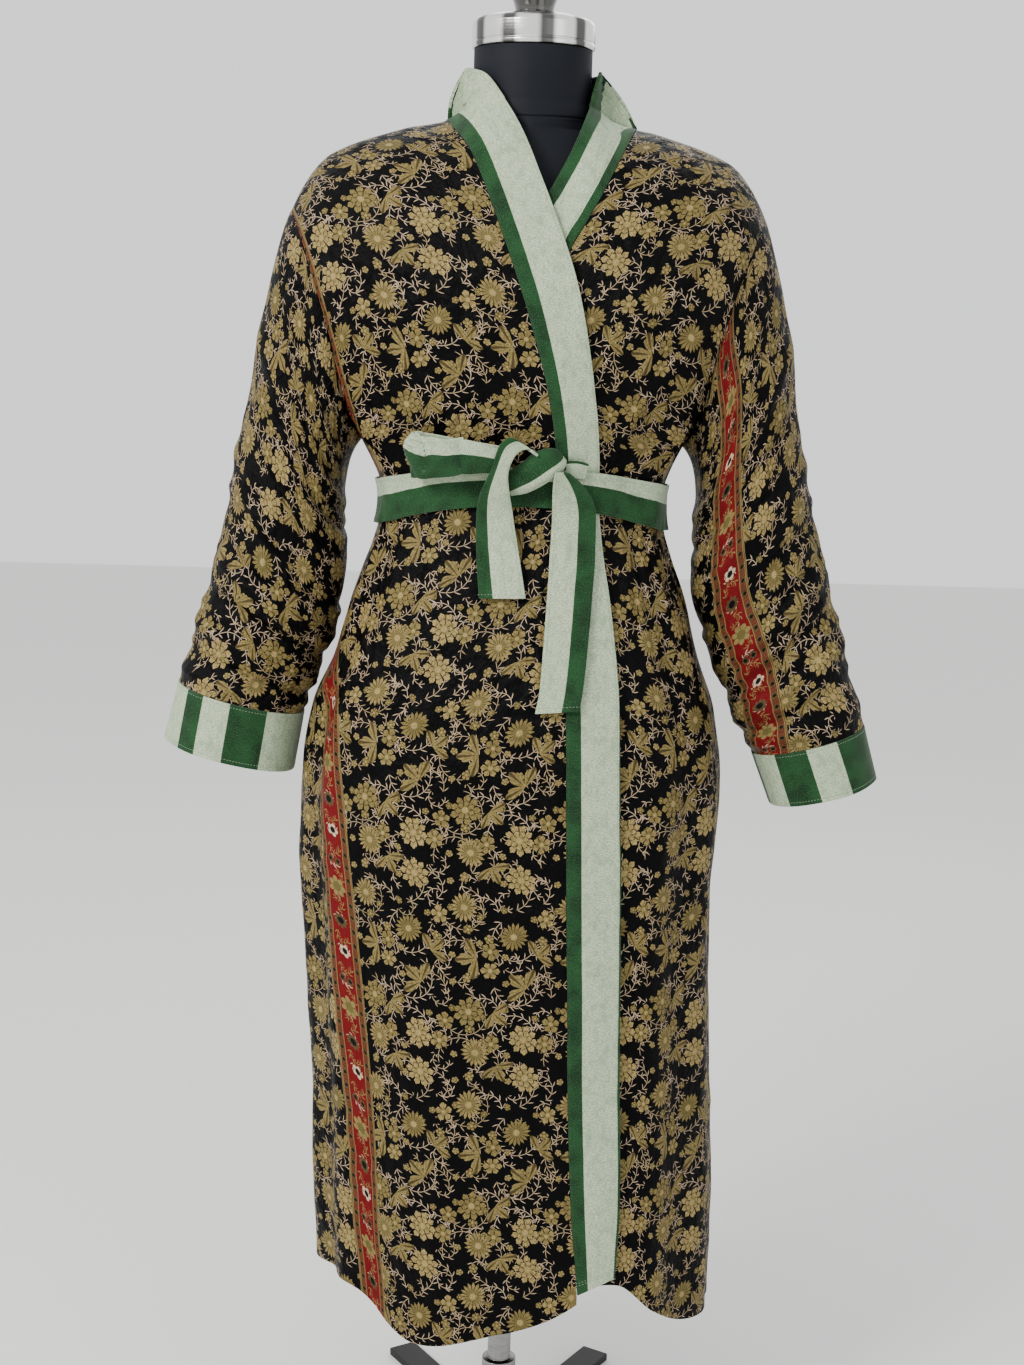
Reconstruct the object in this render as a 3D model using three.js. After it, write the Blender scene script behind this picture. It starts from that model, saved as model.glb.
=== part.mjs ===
import * as THREE from "three";
import { mergeVertices } from "three/addons/utils/BufferGeometryUtils.js";

// A kimono robe of thin cloth, tied with its own sash, on a limbless dress form.
// Millimetres. The floor is z = 0 and the pole stands on x = 0, y = 0.
// The robe faces -Y, and +X is the right of someone who looks at its front.

// Driving dimensions
const clothThick = 2;
const velvetThick = 3;
const bandWide = 50;
const bandGap = 1.1;
const seamTurn = 0.03;
const underarmHeight = 1130;
const shoulderRound = 70;
const sectionPower = 0.84;
const underLayer = 6.5;
const underEase = 45;
const neckRadius = 60;
const neckClear = 9;
const poleRadius = 13;
const torsoBottom = 640;

// A table is a list of rows with named columns
function table(names, ...rows) {
  const columns = names.split(" ");
  return rows.map((row) => Object.fromEntries(columns.map((name, i) => [name, row[i]])));
}

// Half widths and half depths of the robe at each height
const bodyRings = table("z left right front back",
  [180, 196, 232, 172, 162],
  [320, 206, 231, 169, 160],
  [450, 209, 224, 166, 157],
  [650, 222, 216, 163, 153],
  [765, 227, 222, 158, 147],
  [850, 216, 212, 152, 140],
  [905, 193, 192, 144, 130],
  [970, 175, 172, 130, 114],
  [1033, 152, 150, 114, 96],
  [1067, 146, 147, 107, 88],
  [1090, 149, 149, 108, 88],
  [1130, 168, 166, 118, 93],
  [1180, 196, 193, 132, 100],
  [1240, 226, 223, 141, 107],
  [1300, 244, 242, 137, 109],
  [1350, 252, 250, 124, 106],
  [1400, 252, 250, 102, 97],
  [1450, 252, 250, 80, 86],
  [1500, 252, 250, 66, 74]);

// Height of the shoulder line, out from the neck
const shoulderLine = table("x z",
  [0, 1527], [50, 1484], [80, 1455], [130, 1443], [200, 1418], [225, 1393], [247, 1350], [254, 1320]);

// Where each armhole seam crosses the front and the back, as a share of the robe's half width
const armholeLine = table("z share",
  [1130, 1], [1136, 0.995], [1144, 0.983], [1160, 0.955], [1180, 0.925], [1240, 0.875], [1300, 0.885],
  [1340, 0.92], [1366, 0.975]);

// Where each shoulder seam ends at the neck
const neckLeft = -86;
const neckRight = 108;

// Hem heights by the turn around the robe: -180 left side, -90 front, 0 right side, 90 back
const topHem = table("turn z",
  [-180, 238], [-150, 244], [-136, 240], [-124, 213], [-113, 198], [-98, 206], [-82, 227], [-70, 258]);
const underHem = table("turn z",
  [-115, 250], [-90, 256], [-62, 262], [-51, 231], [-37, 206], [-23, 199], [0, 190]);
const backHem = table("turn z", [0, 190], [50, 203], [130, 206], [180, 238]);

// Largest folds of the body cloth: a soft ridge or trough between two heights
const bodyFolds = table("turn wide low high push",
  [-168, 7, 180, 760, 5],
  [-155, 6, 260, 1020, -6],
  [-143, 6, 180, 900, 4],
  [-128, 7, 180, 700, -5],
  [-104, 8, 180, 640, 4],
  [-84, 7, 180, 560, -3],
  [-52, 6, 180, 820, 4],
  [-38, 6, 180, 1000, -5],
  [-24, 6, 240, 780, 4],
  [-9, 6, 180, 900, -5],
  [16, 8, 180, 760, 5],
  [38, 7, 180, 1000, -6],
  [62, 9, 180, 900, 6],
  [88, 8, 180, 1010, -6],
  [112, 9, 180, 880, 6],
  [136, 7, 180, 990, -6],
  [158, 8, 180, 760, 5],
  [-150, 9, 1095, 1230, 5],
  [-128, 8, 1095, 1290, -4],
  [-30, 9, 1095, 1240, 5],
  [-50, 7, 1095, 1280, -4],
  [45, 14, 1095, 1260, 6],
  [90, 12, 1095, 1240, -4],
  [135, 14, 1095, 1260, 6]);
const foldEase = 70;

// Seam edge and free edge of the top band, from the hem up to the shoulder seam
const topBand = table("seamX seamZ freeX freeZ",
  [79, 258, 119, 274], [69, 364, 121, 360], [63, 472, 117, 469], [59, 578, 114, 575],
  [55, 682, 111, 680], [52, 784, 107, 783], [48, 884, 103, 883], [42, 962, 94, 962],
  [35, 1040, 81, 1040], [33, 1085, 77, 1085], [32, 1129, 76, 1128], [22, 1188, 68, 1194],
  [3, 1255, 54, 1270], [-13, 1302, 38, 1324], [-38, 1368, 12, 1391], [-59, 1416, -12, 1445],
  [-75, 1438, -42, 1489], [-83, 1449, -60, 1500], [-86, 1453, -69, 1503]);

// The same for the band below it
const underBand = table("seamX seamZ freeX freeZ",
  [-54, 256, -104, 252], [-43, 364, -95, 360], [-37, 472, -91, 469], [-29, 682, -85, 680],
  [-22, 884, -77, 883], [-12, 985, -62, 985], [-9, 1040, -55, 1040], [-6, 1129, -50, 1128],
  [8, 1195, -38, 1206], [25, 1262, -22, 1287], [40, 1322, 8, 1363], [56, 1350, 23, 1389],
  [73, 1381, 40, 1420], [91, 1418, 57, 1463], [103, 1441, 65, 1490], [108, 1449, 69, 1503]);

const straight = (from, to, share) => from + (to - from) * share;
const radians = (degrees) => (degrees * Math.PI) / 180;
const clamp = (value, low, high) => Math.min(Math.max(value, low), high);

function ease(low, high, value) {
  const share = clamp((value - low) / (high - low), 0, 1);
  return share * share * (3 - 2 * share);
}

// A smooth reading of one column of a table whose rows rise in another column
function read(rows, key, name, at) {
  const last = rows.length - 1;
  if (at <= rows[0][key]) return rows[0][name];
  if (at >= rows[last][key]) return rows[last][name];
  const i = rows.findIndex((row, k) => k < last && rows[k + 1][key] > at);
  const slope = (k) => {
    const before = rows[Math.max(k - 1, 0)];
    const after = rows[Math.min(k + 1, last)];
    return (after[name] - before[name]) / (after[key] - before[key]);
  };
  const span = rows[i + 1][key] - rows[i][key];
  const s = (at - rows[i][key]) / span;
  const rise = s * s * (3 - 2 * s);
  const start = s * (1 - s) * (1 - s) * span * slope(i);
  const end = s * s * (s - 1) * span * slope(i + 1);
  return straight(rows[i][name], rows[i + 1][name], rise) + start + end;
}

const shoulder = (x) => read(shoulderLine, "x", "z", Math.abs(x));
const power = (value) => Math.sign(value) * Math.abs(value) ** sectionPower;

// How far the folds push the cloth out at a turn and a height
function foldPush(turn, z) {
  return bodyFolds.reduce((sum, fold) => {
    const away = (turn - fold.turn) / fold.wide;
    const below = ease(fold.low - foldEase, fold.low, z);
    const above = 1 - ease(fold.high - foldEase, fold.high, z);
    return sum + fold.push * Math.exp(-away * away) * below * above;
  }, 0);
}

// A point of the robe's outer surface at a turn and a height, moved out along the surface's normal
function bare(turn, z) {
  const across = Math.cos(radians(turn));
  const deep = Math.sin(radians(turn));
  const x = read(bodyRings, "z", across < 0 ? "left" : "right", z) * power(across);
  const drop = clamp((shoulder(x) - z) / shoulderRound, 0, 1);
  const rounded = Math.sqrt(1 - (1 - drop) ** 2);
  const y = read(bodyRings, "z", deep < 0 ? "front" : "back", z) * power(deep) * rounded;
  const push = foldPush(turn, z);
  return new THREE.Vector3(x + push * across, y + push * deep * rounded, z);
}

function onBody(turn, z, out) {
  const here = bare(turn, z);
  if (out === 0) return here;
  const small = 0.05;
  const side = bare(turn + small, z).sub(bare(turn - small, z));
  const rise = bare(turn, z + small).sub(bare(turn, z - small));
  return here.addScaledVector(side.cross(rise).normalize(), out);
}

// The turn at which the front of the robe has a given x
function turnAt(x, z) {
  const half = read(bodyRings, "z", x < 0 ? "left" : "right", z);
  const share = Math.min(Math.abs(x) / half, 1) ** (1 / sectionPower);
  return -THREE.MathUtils.radToDeg(Math.acos(Math.sign(x) * share));
}

// A point on the chest by its x and height, kept clear of the form's neck
function onChest(x, z, out) {
  const point = onBody(turnAt(x, z), z, out);
  const clear = neckRadius + neckClear + out;
  if (Math.hypot(point.x, point.y) < clear) {
    const reach = Math.min(Math.abs(point.x), clear);
    point.y = -Math.sqrt(clear * clear - reach * reach);
  }
  return point;
}

// A closed wall: an outer surface over a grid, and an inner one along its normals.
// The grid may close on itself across, and the normals of its first row may be changed.
function wall(surface, across, up, thick, { closed = false, flip = false, firstRow = null } = {}) {
  const columns = closed ? across : across + 1;
  const small = 1e-3;
  const outer = [];
  const inner = [];
  for (let j = 0; j <= up; j++) {
    for (let i = 0; i < columns; i++) {
      const u = i / across;
      const v = j / up;
      const point = surface(u, v);
      const uBack = closed || u > 0.5 ? small : 0;
      const vBack = v > 0.5 ? small : 0;
      const side = surface(u - uBack + small, v).sub(surface(u - uBack, v));
      const rise = surface(u, v - vBack + small).sub(surface(u, v - vBack));
      const normal = flip ? rise.cross(side) : side.cross(rise);
      normal.normalize();
      if (firstRow && j === 0) firstRow(u, normal);
      outer.push(point);
      inner.push(point.clone().addScaledVector(normal, -thick));
    }
  }
  const points = [...outer, ...inner];
  const index = [];
  const at = (i, j, layer) => layer * outer.length + j * columns + (i % columns);
  const quad = (a, b, c, d) => {
    if (flip) index.push(a, c, b, a, d, c);
    else index.push(a, b, c, a, c, d);
  };
  for (let j = 0; j < up; j++) {
    for (let i = 0; i < across; i++) {
      quad(at(i, j, 0), at(i + 1, j, 0), at(i + 1, j + 1, 0), at(i, j + 1, 0));
      quad(at(i, j, 1), at(i, j + 1, 1), at(i + 1, j + 1, 1), at(i + 1, j, 1));
    }
    if (!closed) {
      quad(at(0, j, 1), at(0, j, 0), at(0, j + 1, 0), at(0, j + 1, 1));
      quad(at(across, j, 0), at(across, j, 1), at(across, j + 1, 1), at(across, j + 1, 0));
    }
  }
  for (let i = 0; i < across; i++) {
    quad(at(i, 0, 1), at(i + 1, 0, 1), at(i + 1, 0, 0), at(i, 0, 0));
    quad(at(i, up, 0), at(i + 1, up, 0), at(i + 1, up, 1), at(i, up, 1));
  }
  const geometry = new THREE.BufferGeometry();
  geometry.setAttribute("position", new THREE.Float32BufferAttribute(points.flatMap((p) => p.toArray()), 3));
  geometry.setIndex(index);
  geometry.computeVertexNormals();
  return geometry;
}

const robe = new THREE.Group();
const form = new THREE.Group();

function add(group, name, geometry, material) {
  const mesh = new THREE.Mesh(geometry, material);
  mesh.name = name;
  group.add(mesh);
  return mesh;
}

const satin = new THREE.MeshStandardMaterial({ color: 0x3a3226, roughness: 0.45 });
const sageVelvet = new THREE.MeshStandardMaterial({ color: 0xb9cdb8, roughness: 0.85 });
const greenVelvet = new THREE.MeshStandardMaterial({ color: 0x24502d, roughness: 0.85 });
const blackCover = new THREE.MeshStandardMaterial({ color: 0x1b1c20, roughness: 0.6 });
const chrome = new THREE.MeshStandardMaterial({ color: 0xc9c9c8, roughness: 0.2, metalness: 1 });
const darkGloss = new THREE.MeshStandardMaterial({ color: 0x18191b, roughness: 0.25 });
const blackSteel = new THREE.MeshStandardMaterial({ color: 0x16171a, roughness: 0.5, metalness: 0.6 });

// Height of the top of a panel: the shoulder line, and the neck seam between the shoulders
function panelTop(x) {
  if (x < neckLeft || x > neckRight) return shoulder(x);
  return straight(shoulder(neckLeft), shoulder(neckRight), (x - neckLeft) / (neckRight - neckLeft));
}

const chestShare = 0.6;
const chestCrowding = 1.4;

// Height of a panel's row above the underarm: up the chest, then round over the shoulder
function chestHeight(x, share) {
  const top = panelTop(x);
  const climb = Math.min(share / chestShare, 1) ** chestCrowding;
  if (share < chestShare) return straight(underarmHeight, top - shoulderRound, climb);
  const turned = ((1 - share) / (1 - chestShare)) * (Math.PI / 2);
  return top - shoulderRound * (1 - Math.cos(turned));
}

// The x of a line that is given by height, where it crosses a row of the chest
function crossing(lineAt, share) {
  let x = lineAt(underarmHeight);
  for (let turn = 0; turn < 24; turn++) x = straight(x, lineAt(chestHeight(x, share)), 0.6);
  return x;
}

const halfWidth = (side, z) => read(bodyRings, "z", side < 0 ? "left" : "right", z);
const armholeX = (side) => (z) => side * halfWidth(side, z) * read(armholeLine, "z", "share", z);
const bandSeam = (rows) => (z) => read(rows, "seamZ", "seamX", z);

// A front or back panel as a surface: across from one edge line to the other, up from hem to shoulder.
// Each edge gives its turn below the underarm and its x above it.
const skirtRows = 16;
const chestRows = 10;
const skirtShare = skirtRows / (skirtRows + chestRows);
const rowCrowding = 1.35;
const shoulderShare = 0.999;
function panel({ start, end, hem, back, inset }) {
  const turnOf = (x, z) => (back ? -turnAt(x, z) : turnAt(x, z));
  return (u, v) => {
    if (v <= skirtShare) {
      const share = 1 - (1 - v / skirtShare) ** rowCrowding;
      let z = straight(200, underarmHeight, share);
      let turn = 0;
      for (let round = 0; round < 6; round++) {
        turn = straight(start.turn(z), end.turn(z), u);
        z = straight(read(hem, "turn", "z", turn), underarmHeight, share);
      }
      return onBody(turn, z, inset(turn, z));
    }
    const share = Math.min((v - skirtShare) / (1 - skirtShare), shoulderShare);
    const from = crossing(start.x, share);
    const to = crossing(end.x, share);
    const fromTurn = turnOf(from, chestHeight(from, share));
    const toTurn = turnOf(to, chestHeight(to, share));
    const turn = straight(fromTurn, toTurn, u);
    let z = chestHeight(straight(from, to, u), share);
    for (let round = 0; round < 8; round++) z = chestHeight(bare(turn, z).x, share);
    return onBody(turn, z, inset(turn, z));
  };
}

// An edge of a panel that follows the side seam and then the armhole
function sideEdge(side, back) {
  const seam = side < 0 ? 180 - seamTurn : seamTurn;
  const sign = back ? 1 : -1;
  return { turn: () => sign * seam, x: armholeX(side) };
}

// An edge of a front that follows its band
function bandEdge(rows) {
  const line = bandSeam(rows);
  return { turn: (z) => turnAt(line(z), z), x: line };
}

// The cloth of the left front dips below the top band and the right front
const topFreeX = (z) => read(topBand, "freeZ", "freeX", z);
function underInset(x, z) {
  const past = x - topFreeX(z);
  return -underLayer * (1 - ease(-5, underEase - 5, past));
}

const flat = () => 0;
const rightFront = panel({
  start: sideEdge(-1, false), end: bandEdge(topBand), hem: topHem, back: false, inset: flat });
const leftFront = panel({
  start: bandEdge(underBand), end: sideEdge(1, false), hem: underHem, back: false,
  inset: (turn, z) => underInset(bare(turn, z).x, z) });
const backPanel = panel({
  start: sideEdge(1, true), end: sideEdge(-1, true), hem: backHem, back: true, inset: flat });

// The wearer's right front lies on top. Its rows stand closer where the cloth rounds the shoulder.
add(robe, "robe_front_right", wall(rightFront, 14, skirtRows + chestRows, clothThick), satin);
add(robe, "robe_front_left", wall(leftFront, 12, skirtRows + chestRows, clothThick), satin);
add(robe, "robe_back", wall(backPanel, 22, skirtRows + chestRows, clothThick), satin);

// A band sewn along a front edge, from the hem to the shoulder seam
function band(rows, inset) {
  const last = rows.length - 1;
  const numbered = rows.map((row, i) => ({ ...row, i: i / last }));
  const edge = (name, v) => read(numbered, "i", name, v);
  return (u, v) => {
    const sewn = straight(bandGap / bandWide, 1, rows === topBand ? u : 1 - u);
    const x = straight(edge("seamX", v), edge("freeX", v), sewn);
    const z = straight(edge("seamZ", v), edge("freeZ", v), sewn);
    return onChest(x, z, 1 + inset(x, z));
  };
}
add(robe, "robe_band_right", wall(band(topBand, flat), 3, 34, velvetThick), sageVelvet);
add(robe, "robe_band_left", wall(band(underBand, underInset), 3, 32, velvetThick), sageVelvet);

// The band goes on round the back of the neck, standing up from the neck seam
const bandTop = 1503;
const neckBandStart = 3.8;
function neckBand(u, v) {
  const half = straight(radians(neckBandStart), radians(180 - neckBandStart), u);
  const seamX = straight((neckLeft + neckRight) / 2, neckRight, Math.cos(half));
  const seamZ = panelTop(seamX);
  const seam = onBody(-turnAt(seamX, seamZ), seamZ, 0);
  const clear = neckRadius + neckClear + 1;
  const free = new THREE.Vector3(clear * Math.cos(half), clear * Math.sin(half), bandTop);
  const rise = straight(bandGap / bandWide, 1, v);
  const bulge = 5 * Math.sin(Math.PI * v);
  return seam.lerp(free, rise).addScaledVector(new THREE.Vector3(Math.cos(half), Math.sin(half), 0), bulge);
}
add(robe, "robe_band_neck", wall(neckBand, 20, 3, velvetThick), sageVelvet);

// Sleeves and cuffs: rings that fan out from the underarm. Each row gives the outer and the inner
// point of a ring, and its half depth.
const armRight = table("run outerX outerZ innerX innerZ depth",
  [0, 245, 1357, 170, 1126, 84], [0.1, 257, 1322, 184, 1106, 80], [0.22, 268, 1272, 187, 1080, 74],
  [0.34, 279, 1214, 186, 1050, 69], [0.46, 289, 1160, 182, 1022, 66], [0.58, 300, 1105, 185, 984, 64],
  [0.7, 312, 1040, 191, 938, 63], [0.8, 325, 985, 201, 905, 62], [0.9, 342, 925, 216, 868, 62],
  [1, 359, 869, 227, 838, 60]);
const armLeft = table("run outerX outerZ innerX innerZ depth",
  [0, 244, 1358, 170, 1126, 84], [0.1, 254, 1322, 183, 1106, 80], [0.22, 267, 1272, 185, 1078, 74],
  [0.34, 278, 1216, 181, 1044, 69], [0.46, 286, 1160, 180, 1008, 66], [0.58, 296, 1105, 184, 968, 64],
  [0.7, 313, 1040, 200, 920, 62], [0.8, 328, 985, 218, 876, 60], [0.9, 347, 917, 235, 838, 58],
  [1, 371, 840, 254, 806, 56]);

// Cross wrinkles of the lower sleeves: where they lie along it, how deep, and which way they face
const sleeveWrinkles = table("run wide push facing",
  [0.3, 0.03, 4, 250], [0.42, 0.025, -4, 230], [0.56, 0.025, 4, 300], [0.66, 0.02, -4, 260],
  [0.76, 0.018, 5, 280], [0.82, 0.016, -5, 250], [0.88, 0.015, 5, 290], [0.93, 0.014, -5, 260],
  [0.97, 0.012, 4, 280]);

// A sleeve's corners lie on the corners of the panels: one for each row up the back and down the front
const sleeveSides = 2 * chestRows;
const sleeveGap = 0.8;
const armholeShare = (turn) => Math.abs(turn - 180) / 180;

// The seam of an armhole: its point, the panel's normal there, and the way that leads off the panel
function armholeSeam(side, front, back) {
  return (turn) => {
    const row = skirtShare + (1 - skirtShare) * armholeShare(turn);
    const onFront = turn > 180;
    const surface = onFront ? front : back;
    const edge = (side < 0) === onFront ? 0 : 1;
    const small = 1e-3;
    const inwards = edge === 0 ? small : -small;
    const point = surface(edge, row);
    const across = surface(edge + inwards, row).sub(point).multiplyScalar(Math.sign(inwards));
    const along = point.clone().sub(surface(edge, row - small));
    const normal = across.cross(along).normalize();
    const off = along.cross(normal).normalize().multiplyScalar(edge === 0 ? -1 : 1);
    if (Math.abs(turn - 180) < 1) off.set(0, 0, -1);
    return { point, normal, off };
  };
}

function sleeve(rows, side, seam) {
  return (turn, run) => {
    const at = (name) => read(rows, "run", name, run);
    const c = Math.cos(radians(turn));
    const s = Math.sin(radians(turn));
    const wrinkle = sleeveWrinkles.reduce((sum, row) => {
      const along = (run - row.run) / row.wide;
      const facing = 0.5 + 0.5 * Math.cos(radians(turn - row.facing));
      return sum + row.push * Math.exp(-along * along) * facing;
    }, 0);
    const x = side * (straight(at("innerX"), at("outerX"), (1 + c) / 2) + wrinkle * c);
    const z = straight(at("innerZ"), at("outerZ"), (1 + c) / 2);
    const squareness = straight(0.5, 1, ease(0, 0.45, run));
    const y = (at("depth") + wrinkle) * Math.sign(s) * Math.abs(s) ** squareness;
    const ring = new THREE.Vector3(x, y, z);
    const joined = Math.max(0, 1 - run / 0.3) ** 1.5;
    if (joined === 0) return ring;
    const sewn = seam(turn);
    return ring.lerp(sewn.point.addScaledVector(sewn.off, sleeveGap), joined);
  };
}

const sleeveRings = 18;
function ringRun(v) {
  return v < 0.5 ? v * 1.2 : 0.6 + (v - 0.5) * 0.8;
}

// Cuffs: straight bands of velvet below the sleeves
const cuffSizes = table("side dropOuterX dropOuterZ dropInnerX dropInnerZ",
  [-1, 15, -62, 10, -63], [1, 16, -58, 21, -55]);

function cuff(rows, side, drop) {
  const last = rows[rows.length - 1];
  const gapShare = 0.01;
  return (turn, down) => {
    const share = gapShare + (1 - gapShare) * down;
    const c = Math.cos(radians(turn));
    const outerX = last.outerX + 1 + drop.dropOuterX * share;
    const innerX = last.innerX - 1 + drop.dropInnerX * share;
    const outerZ = last.outerZ + drop.dropOuterZ * share;
    const innerZ = last.innerZ + drop.dropInnerZ * share;
    const x = side * straight(innerX, outerX, (1 + c) / 2);
    const y = (last.depth + 1) * Math.sin(radians(turn));
    return new THREE.Vector3(x, y, straight(innerZ, outerZ, (1 + c) / 2));
  };
}

const arms = [
  { side: -1, name: "right", rows: armRight, front: rightFront, drop: cuffSizes[0] },
  { side: 1, name: "left", rows: armLeft, front: leftFront, drop: cuffSizes[1] }];
for (const arm of arms) {
  const seam = armholeSeam(arm.side, arm.front, backPanel);
  const surface = sleeve(arm.rows, arm.side, seam);
  const end = cuff(arm.rows, arm.side, arm.drop);
  const firstRow = (u, normal) => {
    const shared = ease(0.1, 0.5, armholeShare(360 * u));
    normal.lerp(seam(360 * u).normal, shared).normalize();
  };
  const flip = arm.side > 0;
  const tube = wall((u, v) => surface(360 * u, ringRun(v)), sleeveSides, sleeveRings, clothThick,
    { closed: true, flip, firstRow });
  add(robe, "robe_sleeve_" + arm.name, tube, satin);
  const ends = wall((u, v) => end(360 * u, v), sleeveSides, 2, velvetThick, { closed: true, flip });
  add(robe, "robe_cuff_" + arm.name, ends, greenVelvet);
}

// The sash goes once round the waist, a little higher in front
const sashOut = 5.2;
const sashThick = 2.6;
const sashHeight = 1066;
const sashRise = 25;
function sashWrap(u, v) {
  const turn = straight(-180, 180, u);
  const facing = Math.max(0, -Math.sin(radians(turn))) ** 2;
  const half = straight(24, 20, facing);
  return onBody(turn, sashHeight + sashRise * facing + straight(-half, half, v), sashOut);
}
add(robe, "sash_wrap", wall(sashWrap, 44, 2, sashThick, { closed: true }), greenVelvet);

// A strap that lies on the front of the robe. Each row is a place on its middle line: how far out
// its outer face stands, how wide it is, and how its width leans from level.
function strap(rows) {
  const last = rows.length - 1;
  const numbered = rows.map((row, i) => ({ ...row, i: i / last }));
  const at = (name, v) => read(numbered, "i", name, v);
  return (u, v) => {
    const off = (u - 0.5) * at("wide", v);
    const lean = radians(at("lean", v));
    return onChest(at("x", v) + off * Math.cos(lean), at("z", v) + off * Math.sin(lean), at("out", v));
  };
}
const shortTail = table("x z out wide lean",
  [-17, 980, 9, 47, 2], [-22, 1020, 10, 42, 2], [-25, 1055, 17, 36, 0], [-25, 1090, 27, 27, 0],
  [-21, 1118, 28.4, 17, -4], [-14, 1137, 26, 20, -20], [-3, 1143, 24, 24, -30], [6, 1138, 22, 24, -38]);
const longTail = table("x z out wide lean",
  [40, 871, 8, 43, 3], [44, 900, 8, 43, 2], [49, 980, 8, 44, 0], [51, 1050, 10, 43, 0],
  [48, 1080, 16, 38, 0], [43, 1099, 19.4, 28, 0], [37, 1113, 22.4, 14, 0]);
add(robe, "sash_tail_short", wall(strap(shortTail), 3, 16, sashThick), sageVelvet);
add(robe, "sash_tail_long", wall(strap(longTail), 3, 18, sashThick), sageVelvet);

// The loop of the bow: out to the left and back, standing on its edge
const loopRows = table("x z out wide",
  [-15, 1122, 8.4, 22], [-50, 1124, 9.5, 30], [-88, 1125, 10, 40], [-101, 1125, 12.5, 44],
  [-103, 1125, 16, 45], [-98, 1126, 21, 44], [-60, 1128, 24, 38], [-34, 1126, 21.5, 28], [-15, 1122, 20, 22]);
function loop(u, v) {
  const last = loopRows.length - 1;
  const numbered = loopRows.map((row, i) => ({ ...row, i: i / last }));
  const at = (name) => read(numbered, "i", name, u);
  return onChest(at("x"), at("z") + (v - 0.5) * at("wide"), at("out"));
}
add(robe, "sash_loop", wall(loop, 20, 2, sashThick, { flip: true }), greenVelvet);

// The knot: the strap that crosses over the middle, and the short end that leaves it on the right
const knotRows = table("x z wide out",
  [-15, 1090, 16, 13], [-5, 1099, 28, 20], [8, 1108, 30, 22], [22, 1119, 30, 21], [33, 1125, 24, 16],
  [38, 1127, 14, 10]);
const knotLean = 128;
const knotBack = 6.2;
function knotGeometry() {
  const last = knotRows.length - 1;
  const numbered = knotRows.map((row, i) => ({ ...row, i: i / last }));
  const sides = 12;
  const rings = 10;
  const points = [];
  for (let j = 0; j <= rings; j++) {
    const at = (name) => read(numbered, "i", name, j / rings);
    for (let i = 0; i < sides; i++) {
      const turn = (2 * Math.PI * i) / sides;
      const off = (at("wide") / 2) * power(Math.cos(turn));
      const out = straight(knotBack, at("out"), 0.5 + 0.5 * power(Math.sin(turn)));
      const x = at("x") + off * Math.cos(radians(knotLean));
      points.push(onChest(x, at("z") + off * Math.sin(radians(knotLean)), out));
    }
  }
  return closedRings(points, sides, rings);
}

// A solid from rings of points, with a flat fan at each end
function closedRings(points, sides, rings) {
  const index = [];
  const at = (i, j) => j * sides + (i % sides);
  for (let j = 0; j < rings; j++) {
    for (let i = 0; i < sides; i++) {
      index.push(at(i, j), at(i + 1, j), at(i + 1, j + 1), at(i, j), at(i + 1, j + 1), at(i, j + 1));
    }
  }
  for (const [ring, first] of [[0, true], [rings, false]]) {
    const middle = new THREE.Vector3();
    for (let i = 0; i < sides; i++) middle.addScaledVector(points[at(i, ring)], 1 / sides);
    points.push(middle);
    for (let i = 0; i < sides; i++) {
      const pair = first ? [at(i + 1, ring), at(i, ring)] : [at(i, ring), at(i + 1, ring)];
      index.push(pair[0], pair[1], points.length - 1);
    }
  }
  const geometry = new THREE.BufferGeometry();
  geometry.setAttribute("position", new THREE.Float32BufferAttribute(points.flatMap((p) => p.toArray()), 3));
  geometry.setIndex(index);
  geometry.computeVertexNormals();
  return geometry;
}
add(robe, "sash_knot", knotGeometry(), greenVelvet);

const stubRows = table("x z out wide lean",
  [42.2, 1112, 8, 17, 90], [52, 1112, 8.6, 19, 84], [62, 1110, 8, 17, 78]);
add(robe, "sash_stub", wall(strap(stubRows), 2, 4, sashThick, { flip: true }), sageVelvet);

// The form: a padded torso with shoulders and no arms, under a smooth black cover, and its neck
const torsoRings = table("z half front back pinch ridge",
  [torsoBottom, 128, 84, 80, 1, 1], [646, 140, 94, 90, 1, 1], [680, 152, 104, 102, 1, 1],
  [800, 163, 112, 110, 1, 1], [880, 163, 110, 108, 1, 1], [950, 150, 98, 96, 1, 1],
  [1020, 130, 88, 80, 1, 1], [1075, 124, 84, 74, 1, 1], [1130, 130, 92, 78, 1, 1],
  [1200, 148, 110, 86, 1, 1], [1250, 158, 116, 90, 1, 1], [1300, 170, 108, 92, 1, 1],
  [1345, 182, 94, 88, 1, 1], [1375, 186, 85, 83, 1.05, 1.1], [1400, 186, 78, 78, 1.15, 1.5],
  [1417, 180, 74, 76, 1.3, 1.9], [1429, 166, 71, 74, 1.45, 2.1], [1437, 140, 69, 72, 1.5, 2.2],
  [1443, 108, 67, 70, 1.5, 2.2], [1449, 82, 65, 67, 1.25, 1.7], [1457, 67, 62, 62, 1, 1.2],
  [1470, 60, 60, 60, 1, 1], [1523, 60, 60, 60, 1, 1]);
function torsoGeometry() {
  const sides = 24;
  const points = [];
  for (const ring of torsoRings) {
    for (let i = 0; i < sides; i++) {
      const turn = (2 * Math.PI * i) / sides;
      const depth = Math.sin(turn) < 0 ? -ring.front : ring.back;
      const deep = depth * Math.abs(Math.sin(turn)) ** ring.ridge;
      const across = Math.sign(Math.cos(turn)) * Math.abs(Math.cos(turn)) ** ring.pinch;
      points.push(new THREE.Vector3(ring.half * across, deep, ring.z));
    }
  }
  return closedRings(points, sides, torsoRings.length - 1);
}
add(form, "form_torso", torsoGeometry(), blackCover);

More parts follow.
